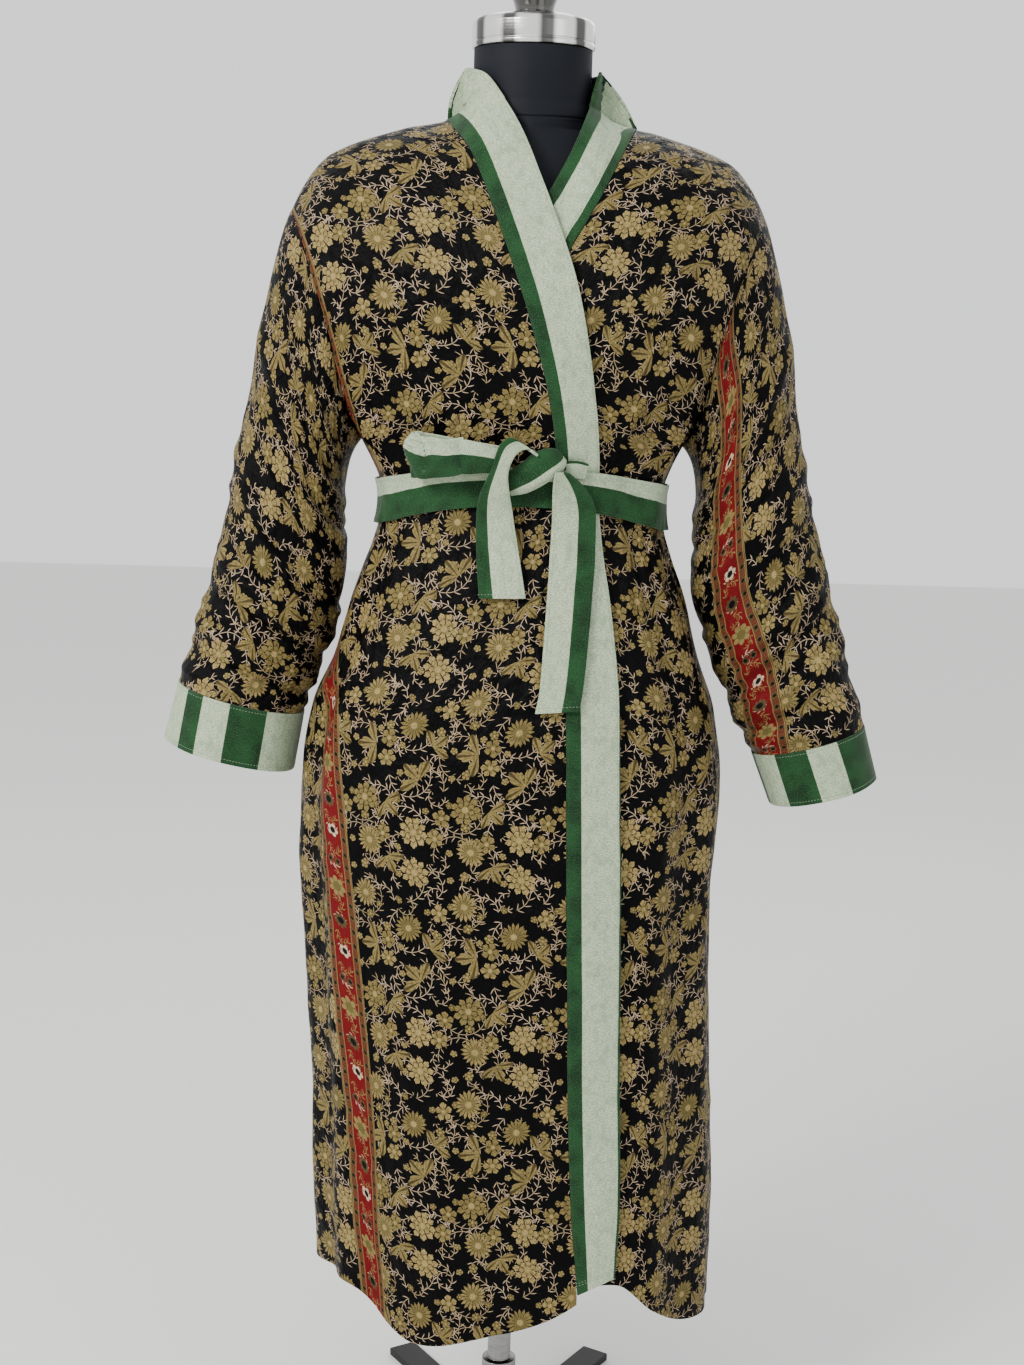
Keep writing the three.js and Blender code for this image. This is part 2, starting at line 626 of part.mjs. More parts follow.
function turned(profile, sides) {
  const points = profile.map(([r, z]) => new THREE.Vector2(r, z));
  const geometry = new THREE.LatheGeometry(points, sides).rotateX(Math.PI / 2);
  geometry.deleteAttribute("normal");
  geometry.deleteAttribute("uv");
  const merged = mergeVertices(geometry, 1e-3);
  merged.computeVertexNormals();
  return merged;
}

// The metal cap on the neck and the ball on top of it
const capBottom = 1523.4;
const capProfile = [
  [0, capBottom], [61, capBottom], [62.5, capBottom + 1.5], [62.5, 1547], [61, 1550], [57, 1552.5],
  [45, 1555.5], [24, 1557.5], [0, 1558]];
add(form, "form_cap", turned(capProfile, 28), chrome);
const finialBottom = 1558.3;
const finialProfile = [
  [0, finialBottom], [18, finialBottom], [19.5, 1560], [20, 1564], [21.2, 1568], [23, 1573],
  [24.8, 1579], [26, 1585], [26.8, 1592], [27, 1599], [26, 1607], [22, 1616], [15, 1623], [7, 1626.4],
  [0, 1627],
];
add(form, "form_finial", turned(finialProfile, 20), darkGloss);

// The stand: a round pole with a collar, in the hub of a base of four flat steel feet
const hubRadius = 24;
const hubHeight = 42;
const footLength = 225;
const footWide = 34;
const footThick = 9;
const poleProfile = [
  [0, hubHeight + 0.3], [poleRadius, hubHeight + 0.3], [poleRadius, 88], [poleRadius + 6, 88.5],
  [poleRadius + 6, 99.5], [poleRadius, 100], [poleRadius, torsoBottom - 0.3], [0, torsoBottom - 0.3]];
add(form, "form_pole", turned(poleProfile, 20), chrome);

// One outline holds the four feet, crossed at the hub. The feet stand nearer to the front and back.
const footTurns = [58, 122, 238, 302];
function baseGeometry() {
  const half = footWide / 2;
  const outline = [];
  footTurns.forEach((foot, i) => {
    const next = i < 3 ? footTurns[i + 1] : footTurns[0] + 360;
    const ahead = new THREE.Vector2(Math.cos(radians(foot)), Math.sin(radians(foot)));
    const aside = new THREE.Vector2(-ahead.y, ahead.x);
    const tip = ahead.clone().multiplyScalar(footLength);
    outline.push(tip.clone().addScaledVector(aside, -half), tip.clone().addScaledVector(aside, half));
    const between = radians((foot + next) / 2);
    const reach = half / Math.sin(radians((next - foot) / 2));
    outline.push(new THREE.Vector2(Math.cos(between), Math.sin(between)).multiplyScalar(reach));
  });
  const plate = new THREE.ExtrudeGeometry(new THREE.Shape(outline), { depth: footThick, bevelEnabled: false });
  plate.deleteAttribute("normal");
  plate.deleteAttribute("uv");
  return mergeVertices(plate, 1e-3);
}
add(form, "stand_base", baseGeometry(), blackSteel);
const hubProfile = [
  [0, footThick + 0.3], [hubRadius, footThick + 0.3], [hubRadius, hubHeight - 6],
  [hubRadius - 5, hubHeight], [0, hubHeight]];
add(form, "stand_hub", turned(hubProfile, 24), blackSteel);

const model = new THREE.Group();
model.add(robe, form);
export default model;
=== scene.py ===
import math

import bpy
import numpy as np
from mathutils import Matrix, Vector


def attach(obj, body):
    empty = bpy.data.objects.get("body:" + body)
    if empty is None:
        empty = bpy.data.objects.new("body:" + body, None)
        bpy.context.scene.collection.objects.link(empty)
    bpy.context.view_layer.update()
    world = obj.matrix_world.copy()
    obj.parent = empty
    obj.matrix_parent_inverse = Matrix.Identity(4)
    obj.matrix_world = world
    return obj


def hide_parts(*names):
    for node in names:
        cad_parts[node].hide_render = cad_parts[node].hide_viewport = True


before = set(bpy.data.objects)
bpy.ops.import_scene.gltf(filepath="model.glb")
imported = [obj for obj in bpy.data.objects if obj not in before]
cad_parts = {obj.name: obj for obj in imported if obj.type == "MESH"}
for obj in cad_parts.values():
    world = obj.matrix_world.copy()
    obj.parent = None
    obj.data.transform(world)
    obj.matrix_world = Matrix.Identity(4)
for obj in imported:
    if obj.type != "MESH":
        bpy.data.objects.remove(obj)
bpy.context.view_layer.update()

scene = bpy.context.scene

# The camera stands a little over two metres in front of the robe, at chest height.
# It looks slightly down, and leans by a degree and a half about its own axis.
camera_place = (-0.005, -2.15, 1.255)
camera_down = 10.05
camera_lean = 1.5
lens = bpy.data.cameras.new("front_view")
lens.lens = 54.0
lens.sensor_width = 36.0
camera = bpy.data.objects.new("front_view", lens)
camera.matrix_world = (
    Matrix.Translation(camera_place)
    @ Matrix.Rotation(math.radians(90 - camera_down), 4, "X")
    @ Matrix.Rotation(math.radians(camera_lean), 4, "Z"))
scene.collection.objects.link(camera)
scene.camera = camera


# The stand carries the form: four flat steel feet crossed under a turned hub, both painted black,
# and a chromed tube in the hub. The tube slides in the hub and a collar near the floor stops it.
class Shade:
    """A number or a colour that changes over a finish."""

    def __init__(self, finish, socket):
        self.finish = finish
        self.socket = socket

    def other(self, name):
        return Shade(self.finish, self.socket.node.outputs[name])

    def math(self, operation, *others):
        return self.finish.node("ShaderNodeMath", {"operation": operation}, (self, *others))

    def __add__(self, other):
        return self.math("ADD", other)

    __radd__ = __add__

    def __sub__(self, other):
        return self.math("SUBTRACT", other)

    def __rsub__(self, other):
        return self.finish.node("ShaderNodeMath", {"operation": "SUBTRACT"}, (other, self))

    def __mul__(self, other):
        return self.math("MULTIPLY", other)

    __rmul__ = __mul__

    def __truediv__(self, other):
        return self.math("DIVIDE", other)

    def __abs__(self):
        return self.math("ABSOLUTE")

    def rise(self, low, high):
        """0 at low and 1 at high, with a soft step between them."""
        return self.finish.node(
            "ShaderNodeMapRange", {"interpolation_type": "SMOOTHSTEP"}, (self, low, high))


class Finish:
    """A node material on one piece. Its fixed sizes are set on the shader's own sockets."""

    def __init__(self, name, fixed):
        self.material = bpy.data.materials.new(name)
        self.material.use_nodes = True
        self.tree = self.material.node_tree
        self.surface = self.tree.nodes["Principled BSDF"]
        for socket, value in fixed.items():
            self.surface.inputs[socket].default_value = value

    def node(self, kind, settings, values, out=0):
        made = self.tree.nodes.new(kind)
        for setting, value in settings.items():
            setattr(made, setting, value)
        for socket, value in values.items() if isinstance(values, dict) else enumerate(values):
            if isinstance(value, Shade):
                self.tree.links.new(value.socket, made.inputs[socket])
            else:
                made.inputs[socket].default_value = value
        return Shade(self, made.outputs[out])

    def blend(self, share, under, over):
        """The colour over laid on the colour under, by a share."""
        return self.node("ShaderNodeMix", {"data_type": "RGBA"}, {0: share, 6: under, 7: over}, 2)

    def noise(self, place, scale, detail=2.0):
        return self.node("ShaderNodeTexNoise", {}, {"Vector": place, "Scale": scale, "Detail": detail})

    def stretched(self, place, scales):
        return self.node("ShaderNodeMapping", {}, {"Vector": place, "Scale": scales})

    def where(self):
        """The place on the object, in metres."""
        return self.node("ShaderNodeTexCoord", {}, {}, "Object")

    def laid_flat(self, name):
        """The place on one of the cloth's flat maps, in metres."""
        return self.node("ShaderNodeUVMap", {"uv_map": name}, {})

    def apart(self, place):
        """The three parts of a place."""
        x = self.node("ShaderNodeSeparateXYZ", {}, (place,))
        return x, x.other("Y"), x.other("Z")

    def feed(self, **shades):
        for name, shade in shades.items():
            self.tree.links.new(shade.socket, self.surface.inputs[name.replace("_", " ")])

    def relief(self, height, depth, strength=1.0):
        bump = self.node(
            "ShaderNodeBump", {}, {"Strength": strength, "Distance": depth, "Height": height})
        self.feed(Normal=bump)


def make_piece(name, points, faces, finish, node, slot, maps=None, crease=40):
    """A mesh from points in millimetres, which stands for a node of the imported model."""
    mesh = bpy.data.meshes.new(name)
    mesh.from_pydata((np.asarray(points) * 0.001).tolist(), [], faces)
    for map_name, places in (maps or {}).items():
        layer = mesh.uv_layers.new(name=map_name)
        layer.data.foreach_set("uv", np.asarray(places, np.float32).ravel())
    mesh.materials.append(finish.material)
    mesh.shade_smooth()
    mesh.set_sharp_from_angle(angle=math.radians(crease))
    piece = bpy.data.objects.new(name, mesh)
    scene.collection.objects.link(piece)
    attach(piece, "root")
    if node:
        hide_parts(node)
    return piece


def rounded(profile, radius):
    """A profile whose corners are turned with a small radius."""
    made = [profile[0]]
    for before, corner, after in zip(profile, profile[1:], profile[2:]):
        before, corner, after = np.array(before), np.array(corner), np.array(after)
        back = before - corner
        ahead = after - corner
        reach = min(radius, np.linalg.norm(back) * 0.45, np.linalg.norm(ahead) * 0.45)
        start = corner + back / np.linalg.norm(back) * reach
        end = corner + ahead / np.linalg.norm(ahead) * reach
        for share in (0, 0.25, 0.5, 0.75, 1):
            made.append(tuple(
                start * (1 - share) ** 2 + corner * 2 * share * (1 - share) + end * share ** 2))
    made.append(profile[-1])
    return made


def ring_faces(rings, sides):
    """Faces between rings of points that lie one on another."""
    pairs = [(i, (i + 1) % sides) for i in range(sides)]
    starts = range(0, (rings - 1) * sides, sides)
    return [(a + i, a + j, a + sides + j, a + sides + i) for a in starts for i, j in pairs]


def end_fans(rings, sides):
    """Faces that close the first and last ring, each round one of two middle points after the rings."""
    pairs = [(i, (i + 1) % sides) for i in range(sides)]
    last, low = (rings - 1) * sides, rings * sides
    return [(low, j, i) for i, j in pairs] + [(last + i, last + j, low + 1) for i, j in pairs]


def turned(profile, sides):
    """Points and faces of a solid turned about the pole, from a profile that starts and ends on it."""
    ring = profile[1:-1]
    turns = np.linspace(0, 2 * np.pi, sides, endpoint=False)
    points = [(r * math.cos(t), r * math.sin(t), z) for r, z in ring for t in turns]
    points += [(0, 0, profile[0][1]), (0, 0, profile[-1][1])]
    return points, ring_faces(len(ring), sides) + end_fans(len(ring), sides)


black_paint = Finish(
    "stand_black_paint", {"Specular IOR Level": 0.2, "Coat Weight": 0.08, "Coat Roughness": 0.3})
grain = black_paint.noise(black_paint.where(), 900.0)
worn = black_paint.noise(black_paint.where(), 14.0, 6.0)
black_paint.feed(
    Base_Color=black_paint.blend(worn.rise(0.45, 0.75), (0.005, 0.005, 0.006, 1), (0.016, 0.015, 0.015, 1)),
    Roughness=0.42 + worn * 0.2)
black_paint.relief(grain, 0.00012)

foot_turns = (58, 122, 238, 302)
foot_length = 225
foot_half = 17
foot_thick = 9
outline = []
for foot, after in zip(foot_turns, foot_turns[1:] + (foot_turns[0] + 360,)):
    ahead = np.array([math.cos(math.radians(foot)), math.sin(math.radians(foot))])
    aside = np.array([-ahead[1], ahead[0]])
    tip = ahead * foot_length
    outline += [tip - aside * foot_half, tip + aside * foot_half]
    between = math.radians((foot + after) / 2)
    reach = foot_half / math.sin(math.radians((after - foot) / 2))
    outline.append(np.array([math.cos(between), math.sin(between)]) * reach)
corners = len(outline)
feet = [(*p, 0) for p in outline] + [(*p, foot_thick) for p in outline]
feet_faces = [(i, (i + 1) % corners, corners + (i + 1) % corners, corners + i) for i in range(corners)]
feet_faces += [tuple(range(corners, 2 * corners)), tuple(reversed(range(corners)))]
stand_feet = make_piece("stand_feet", feet, feet_faces, black_paint, "stand_base", "stand")
softened = stand_feet.modifiers.new("rounded_edges", "BEVEL")
softened.width = 0.0012
softened.segments = 3

hub_profile = rounded([(0, 9.3), (24, 9.3), (24, 36), (19, 42), (0, 42)], 1.5)
make_piece("stand_hub_turned", *turned(hub_profile, 64), black_paint, "stand_hub", "stand")

chrome = Finish("chrome", {"Metallic": 1.0})
rubbed = chrome.noise(chrome.stretched(chrome.where(), (1, 1, 40)), 60.0, 4.0)
chrome.feed(
    Base_Color=chrome.blend(rubbed.rise(0.3, 0.75), (0.20, 0.20, 0.20, 1), (0.34, 0.335, 0.33, 1)),
    Roughness=0.12 + rubbed * 0.16)
chrome.relief(rubbed, 0.00004)
pole_profile = rounded(
    [(0, 42.3), (13, 42.3), (13, 88), (19, 88.5), (19, 99.5), (13, 100), (13, 639.7), (0, 639.7)], 0.8)
make_piece("pole_tube", *turned(pole_profile, 64), chrome, "form_pole", "form_metal")


# The form is a padded torso without arms or legs, under one smooth black cover.
# The cover is cut in panels and seamed round the base of the neck, and is glued under at the bottom.
def table(names, *rows):
    """Columns of numbers by name."""
    columns = np.array(rows, float).T
    return dict(zip(names.split(), columns))


torso_rings = table(
    "z half front back pinch ridge",
    [640, 128, 84, 80, 1, 1], [646, 140, 94, 90, 1, 1], [680, 152, 104, 102, 1, 1],
    [800, 163, 112, 110, 1, 1], [880, 163, 110, 108, 1, 1], [950, 150, 98, 96, 1, 1],
    [1020, 130, 88, 80, 1, 1], [1075, 124, 84, 74, 1, 1], [1130, 130, 92, 78, 1, 1],
    [1200, 148, 110, 86, 1, 1], [1250, 158, 116, 90, 1, 1],
    [1300, 170, 108, 92, 1, 1], [1345, 182, 94, 88, 1, 1], [1375, 186, 85, 83, 1.05, 1.1],
    [1400, 186, 78, 78, 1.15, 1.5], [1417, 180, 74, 76, 1.3, 1.9], [1429, 166, 71, 74, 1.45, 2.1],
    [1437, 140, 69, 72, 1.5, 2.2], [1443, 108, 67, 70, 1.5, 2.2], [1449, 82, 65, 67, 1.25, 1.7],
    [1457, 67, 62, 62, 1, 1.2], [1470, 60, 60, 60, 1, 1], [1523, 60, 60, 60, 1, 1])
neck_seam = 1454
heights = np.unique(np.concatenate([
    np.linspace(640, 1400, 90), np.linspace(1400, 1523, 90), neck_seam + np.linspace(-2, 2, 9)]))
sides = 128
turns = np.linspace(0, 2 * np.pi, sides, endpoint=False)
torso_points = []
for z in heights:
    half, front, back, pinch, ridge = (np.interp(z, torso_rings["z"], torso_rings[n])
                                       for n in ("half", "front", "back", "pinch", "ridge"))
    sunk = 0.7 * math.exp(-((z - neck_seam) / 0.9) ** 2)
    across = np.sign(np.cos(turns)) * np.abs(np.cos(turns)) ** pinch * (half - sunk)
    depth = np.where(np.sin(turns) < 0, -front, back)
    deep = depth * np.abs(np.sin(turns)) ** ridge - sunk * np.sin(turns)
    torso_points += list(zip(across, deep, np.full(sides, z)))
torso_points += [(0, 0, heights[0]), (0, 0, heights[-1])]
torso_faces = ring_faces(len(heights), sides) + end_fans(len(heights), sides)

black_cover = Finish("form_black_cover", {"Specular IOR Level": 0.1})
jersey = black_cover.noise(black_cover.stretched(black_cover.where(), (1, 1, 1.6)), 1400.0, 2.0)
dusty = black_cover.noise(black_cover.where(), 9.0, 6.0)
level = black_cover.apart(black_cover.where())[2]
seam_line = abs(level - neck_seam / 1000).rise(0.0011, 0.0003)
cover_colour = black_cover.blend(dusty.rise(0.35, 0.8), (0.0075, 0.0085, 0.012, 1), (0.016, 0.017, 0.022, 1))
black_cover.feed(
    Base_Color=black_cover.blend(seam_line, cover_colour, (0.002, 0.002, 0.003, 1)),
    Roughness=0.5 + dusty * 0.22)
black_cover.relief(jersey, 0.00012, 0.6)
make_piece("form_torso_cover", torso_points, torso_faces, black_cover, "form_torso", "form_cover")

# The neck is closed by a spun and brushed metal cap, with a rolled bead at its lower edge. Its colour carries
# painted reflections: light and dark bands round the cap.
# A turned knob of dark polished plastic is screwed into the cap.
brushed = Finish("neck_cap_metal_painted_reflections", {"Metallic": 1.0, "Anisotropic": 0.5})
place = brushed.where()
x, y, z = brushed.apart(place)
around = y.math("ARCTAN2", x)
# Painted reflections: ten light and dark bands round the cap, laid into its colour, which stand in for the
# room mirrored in the metal.
painted_reflection_bands = abs((around * 5.0 + 0.5).math("SINE"))
lines = brushed.noise(brushed.stretched(place, (6, 6, 1400)), 1.0, 3.0)
brushed.feed(
    Base_Color=brushed.blend(painted_reflection_bands.rise(0.35, 0.8), (0.10, 0.098, 0.095, 1), (0.80, 0.79, 0.77, 1)),
    Roughness=0.12 + lines * 0.16)
brushed.relief(lines, 0.00005)
cap_profile = [
    (0, 1523.4), (61, 1523.4), (62.5, 1524.6), (62.5, 1528.2), (61.6, 1529.2), (61.6, 1530), (62.3, 1531),
    (62.3, 1546.6), (61, 1550), (57, 1552.5), (45, 1555.5), (24, 1557.5), (0, 1558)]
make_piece("neck_cap", *turned(rounded(cap_profile, 0.8), 128), brushed, "form_cap", "form_metal")

ball_gloss = Finish("ball_gloss", {"Coat Weight": 1.0, "Coat Roughness": 0.04})
smoke = ball_gloss.noise(ball_gloss.where(), 45.0, 3.0)
ball_gloss.feed(
    Base_Color=ball_gloss.blend(smoke.rise(0.4, 0.7), (0.012, 0.011, 0.010, 1), (0.045, 0.042, 0.038, 1)),
    Roughness=0.06 + smoke * 0.12)
ball_profile = [
    (0, 1558.3), (18, 1558.3), (19.5, 1560), (20, 1564), (21.2, 1568), (23, 1573), (24.8, 1579), (26, 1585),
    (26.8, 1592), (27, 1599), (26, 1607), (22, 1616), (15, 1623), (7, 1626.4), (0, 1627)]
make_piece("neck_ball", *turned(rounded(ball_profile, 3), 96), ball_gloss, "form_finial", "form_finial")


# The body of the robe is cut from printed satin: one back and two fronts, with a shoulder seam each.
# A woven border runs up the wearer's right front, caught in the side seam and then in the armhole.
body_rings = table(
    "z left right front back",
    [180, 196, 232, 172, 162], [320, 206, 231, 169, 160], [450, 209, 224, 166, 157],
    [650, 222, 216, 163, 153], [765, 227, 222, 158, 147], [850, 216, 212, 152, 140],
    [905, 193, 192, 144, 130], [970, 175, 172, 130, 114], [1033, 152, 150, 114, 96],
    [1067, 146, 147, 107, 88], [1090, 149, 149, 108, 88],
    [1130, 168, 166, 118, 93], [1180, 196, 193, 132, 100], [1240, 226, 223, 141, 107],
    [1300, 244, 242, 137, 109], [1350, 252, 250, 124, 106], [1400, 252, 250, 102, 97],
    [1450, 252, 250, 80, 86], [1500, 252, 250, 66, 74])
shoulder_line = table(
    "x z",
    [0, 1527], [50, 1484], [80, 1455], [130, 1443], [200, 1418], [225, 1393], [247, 1350], [254, 1320])
armhole_line = table(
    "z share",
    [1130, 1], [1136, 0.995], [1144, 0.983], [1160, 0.955], [1180, 0.925], [1240, 0.875], [1300, 0.885],
    [1340, 0.92], [1366, 0.975])
right_hem = table(
    "turn z",
    [-180, 238], [-150, 244], [-136, 240], [-124, 213], [-113, 198], [-98, 206], [-82, 227], [-70, 258])
left_hem = table(
    "turn z",
    [-115, 250], [-90, 256], [-62, 262], [-51, 231], [-37, 206], [-23, 199], [0, 190])
back_hem = table("turn z", [0, 190], [50, 203], [130, 206], [180, 238])

# Hanging folds: the turn round the robe, half width in degrees, the heights between, and the push out
body_folds = table(
    "turn wide low high push",
    [-168, 7, 180, 760, 5], [-155, 6, 260, 1020, -6], [-143, 6, 180, 900, 4], [-128, 7, 180, 700, -5],
    [-104, 8, 180, 640, 4], [-84, 7, 180, 560, -3], [-52, 6, 180, 820, 4], [-38, 6, 180, 1000, -5],
    [-24, 6, 240, 780, 4], [-9, 6, 180, 900, -5], [16, 8, 180, 760, 5], [38, 7, 180, 1000, -6],
    [62, 9, 180, 900, 6], [88, 8, 180, 1010, -6], [112, 9, 180, 880, 6], [136, 7, 180, 990, -6],
    [158, 8, 180, 760, 5], [-150, 9, 1095, 1230, 5], [-128, 8, 1095, 1290, -4], [-30, 9, 1095, 1240, 5],
    [-50, 7, 1095, 1280, -4], [45, 14, 1095, 1260, 6], [90, 12, 1095, 1240, -4], [135, 14, 1095, 1260, 6])
fold_ease = 70

# Smaller creases: the turn and height of the middle, length and width, lean from upright, and push out
creases = table(
    "turn z length wide lean push",
    [-160, 1010, 60, 7, 8, 3.2], [-148, 996, 74, 6, 4, -3.0], [-137, 1000, 66, 8, -3, 2.8],
    [-124, 990, 58, 6, -6, -2.6], [-112, 1004, 50, 7, -8, 2.4], [-98, 985, 62, 6, -4, -2.2],
    [-52, 1000, 54, 7, 6, 2.6], [-43, 988, 70, 6, 4, -2.8], [-31, 1002, 62, 7, 2, 3.0],
    [-19, 990, 60, 6, -4, -2.6], [-6, 1000, 66, 8, -6, 2.8], [-160, 1150, 36, 7, -14, 3.0],
    [-140, 1148, 44, 6, -22, -2.6], [-122, 1146, 40, 7, -12, 3.0], [-106, 1144, 34, 6, 6, -2.0],
    [-58, 1142, 36, 6, 10, 2.4], [-42, 1150, 42, 6, 20, -2.6], [-26, 1146, 40, 7, 14, 3.0],
    [-14, 1152, 38, 6, 6, -2.4], [-136, 1222, 70, 9, -34, 3.2], [-124, 1262, 78, 8, -30, -2.8],
    [-116, 1204, 60, 8, -26, 2.2], [-46, 1226, 64, 9, 32, 3.0], [-56, 1262, 72, 8, 28, -2.6],
    [-146, 700, 52, 9, 74, 2.0], [-138, 640, 46, 8, 82, -1.8], [-120, 560, 60, 9, 70, 1.8],
    [-152, 520, 40, 8, 86, 2.2], [-148, 430, 44, 8, 80, -2.0], [-104, 470, 58, 9, 76, -1.6],
    [-130, 372, 52, 9, 72, 1.8], [-96, 640, 44, 8, 66, 1.6], [-112, 740, 56, 8, 60, -1.6],
    [-30, 660, 44, 8, 104, 1.9], [-22, 560, 50, 9, 98, -1.8], [-40, 470, 46, 9, 110, 1.7],
    [-14, 420, 40, 8, 96, 2.0], [-34, 340, 44, 8, 104, -1.8], [-48, 780, 52, 8, 112, 1.6],
    [20, 1004, 64, 8, 5, 3.0], [44, 994, 72, 7, -4, -2.8], [70, 1002, 60, 8, 6, 2.8],
    [97, 990, 66, 7, -3, -2.6], [122, 1000, 70, 8, 4, 3.0], [148, 992, 60, 7, -5, -2.6],
    [30, 1150, 42, 8, 18, 3.0], [66, 1148, 36, 7, 8, -2.4], [112, 1150, 40, 8, -10, 2.8],
    [150, 1146, 42, 7, -18, -2.6], [52, 1236, 76, 10, 34, 3.0], [128, 1236, 76, 10, -34, 3.0],
    [40, 700, 50, 9, 74, 1.8], [80, 610, 56, 9, 84, -1.8], [120, 680, 50, 9, 100, 1.8],
    [150, 540, 46, 8, 96, 2.0], [60, 440, 54, 9, 78, 1.8], [100, 380, 50, 9, 94, -1.8],
    [24, 360, 42, 8, 82, 1.8])
degree_length = 3.3
sash_middle = 1085

shoulder_round = 70
section_power = 0.84
underarm = 1130
seam_turn = 0.03
neck_left = -86
neck_right = 108
cloth_thick = 2.0
neck_radius = 60
neck_clear = 9


def read(rows, key, name, at):
    """A smooth reading of one column of a table whose rows rise in another column."""
    keys, values = rows[key], rows[name]
    last = len(keys) - 1
    at = np.clip(np.asarray(at, float), keys[0], keys[last])
    i = np.clip(np.searchsorted(keys, at, side="right") - 1, 0, last - 1)
    k = np.arange(last + 1)
    before, after = np.maximum(k - 1, 0), np.minimum(k + 1, last)
    slope = (values[after] - values[before]) / (keys[after] - keys[before])
    span = keys[i + 1] - keys[i]
    s = (at - keys[i]) / span
    rise = s * s * (3 - 2 * s)
    start = s * (1 - s) ** 2 * span * slope[i]
    end = s * s * (s - 1) * span * slope[i + 1]
    return values[i] + (values[i + 1] - values[i]) * rise + start + end


def ease(low, high, value):
    share = np.clip((value - low) / (high - low), 0, 1)
    return share * share * (3 - 2 * share)


def shoulder(x):
    return read(shoulder_line, "x", "z", np.abs(x))


def power(value):
    return np.sign(value) * np.abs(value) ** section_power


def rows_of(rows):
    """The rows of a table, one after the other, as plain numbers."""
    return zip(*(column.tolist() for column in rows.values()))


def fold_push(turn, z):
    """How far folds and creases push the cloth out at a turn and a height."""
    push = np.zeros(np.broadcast(turn, z).shape)
    for fold, wide, low, high, out in rows_of(body_folds):
        away = (turn - fold) / wide
        present = ease(low - fold_ease, low, z) * (1 - ease(high - fold_ease, high, z))
        push += out * np.exp(-away * away) * present
    small = np.zeros_like(push)
    for middle, height, length, wide, lean, out in rows_of(creases):
        side = (turn - middle) * degree_length
        rise = z - height
        c, s = math.cos(math.radians(lean)), math.sin(math.radians(lean))
        along = (rise * c + side * s) / length
        aside = (side * c - rise * s) / wide
        small += out * np.exp(-aside * aside - along ** 4)
    side = turn * degree_length
    small += 0.5 * np.sin(side / 17 + 1.3 * np.sin(z / 41)) * np.sin(z / 23 + 0.9 * np.sin(side / 31))
    small += 0.35 * np.sin(side / 9.5 + z / 27) * np.sin(z / 13 - side / 37)
    taut = 1 - np.exp(-((z - sash_middle) / 32) ** 2)
    return push + small * taut * (1 - ease(1330, 1420, z))


def bare(turn, z):
    """A point of the robe's outer surface at a turn and a height."""
    turn, z = np.broadcast_arrays(np.asarray(turn, float), np.asarray(z, float))
    across, deep = np.cos(np.radians(turn)), np.sin(np.radians(turn))
    half = np.where(across < 0, read(body_rings, "z", "left", z), read(body_rings, "z", "right", z))
    x = half * power(across)
    drop = np.clip((shoulder(x) - z) / shoulder_round, 0, 1)
    rounding = np.sqrt(1 - (1 - drop) ** 2)
    depth = np.where(deep < 0, read(body_rings, "z", "front", z), read(body_rings, "z", "back", z))
    push = fold_push(turn, z)
    y = depth * power(deep) * rounding + push * deep * rounding
    return np.stack([x + push * across, y, z], -1)


def unit(vector):
    return vector / (np.linalg.norm(vector, axis=-1, keepdims=True) + 1e-12)


def on_body(turn, z, out):
    """A point that lies a given way out from the robe's outer surface."""
    turn, z, out = np.broadcast_arrays(*(np.asarray(v, float) for v in (turn, z, out)))
    small = 0.05
    side = bare(turn + small, z) - bare(turn - small, z)
    rise = bare(turn, z + small) - bare(turn, z - small)
    return bare(turn, z) + unit(np.cross(side, rise)) * out[..., None]


def turn_at(x, z):
    """The turn at which the front of the robe has a given x."""
    x, z = np.broadcast_arrays(np.asarray(x, float), np.asarray(z, float))
    half = np.where(x < 0, read(body_rings, "z", "left", z), read(body_rings, "z", "right", z))
    share = np.minimum(np.abs(x) / half, 1) ** (1 / section_power)
    return -np.degrees(np.arccos(np.sign(x) * share))


def on_chest(x, z, out):
    """A point on the front by its x and height, kept clear of the form's neck."""
    x, z, out = np.broadcast_arrays(*(np.asarray(v, float) for v in (x, z, out)))
    point = on_body(turn_at(x, z), z, out)
    clear = neck_radius + neck_clear + out
    near = np.hypot(point[..., 0], point[..., 1]) < clear
    reach = np.minimum(np.abs(point[..., 0]), clear)
    point[..., 1] = np.where(near, -np.sqrt(clear * clear - reach * reach), point[..., 1])
    return point


def normals_of(grid, closed, flip):
    """The outward direction at each point of a grid, whose first and last columns may meet."""
    if closed:
        wrapped = np.concatenate([grid[:, -2:-1], grid, grid[:, 1:2]], 1)
        side = wrapped[:, 2:] - wrapped[:, :-2]
    else:
        side = np.gradient(grid, axis=1)
    rise = np.gradient(grid, axis=0)
    return unit(np.cross(rise, side) if flip else np.cross(side, rise))


def run_along(grid, axis):
    """The length over the grid to each of its points, up the columns or along the rows."""
    steps = np.linalg.norm(np.diff(grid, axis=axis), axis=-1)
    return np.insert(np.cumsum(steps, axis), 0, 0.0, axis)


def flat_lengths(grid, anchor_column=0, anchor_row=0):
    """The flat place of each grid point, in metres: along its row from one column, and up its column."""
    across, up = run_along(grid, 1), run_along(grid, 0)
    across = across - across[:, anchor_column:anchor_column + 1]
    up = up - up[anchor_row:anchor_row + 1]
    return np.stack([across, up], -1) * 0.001


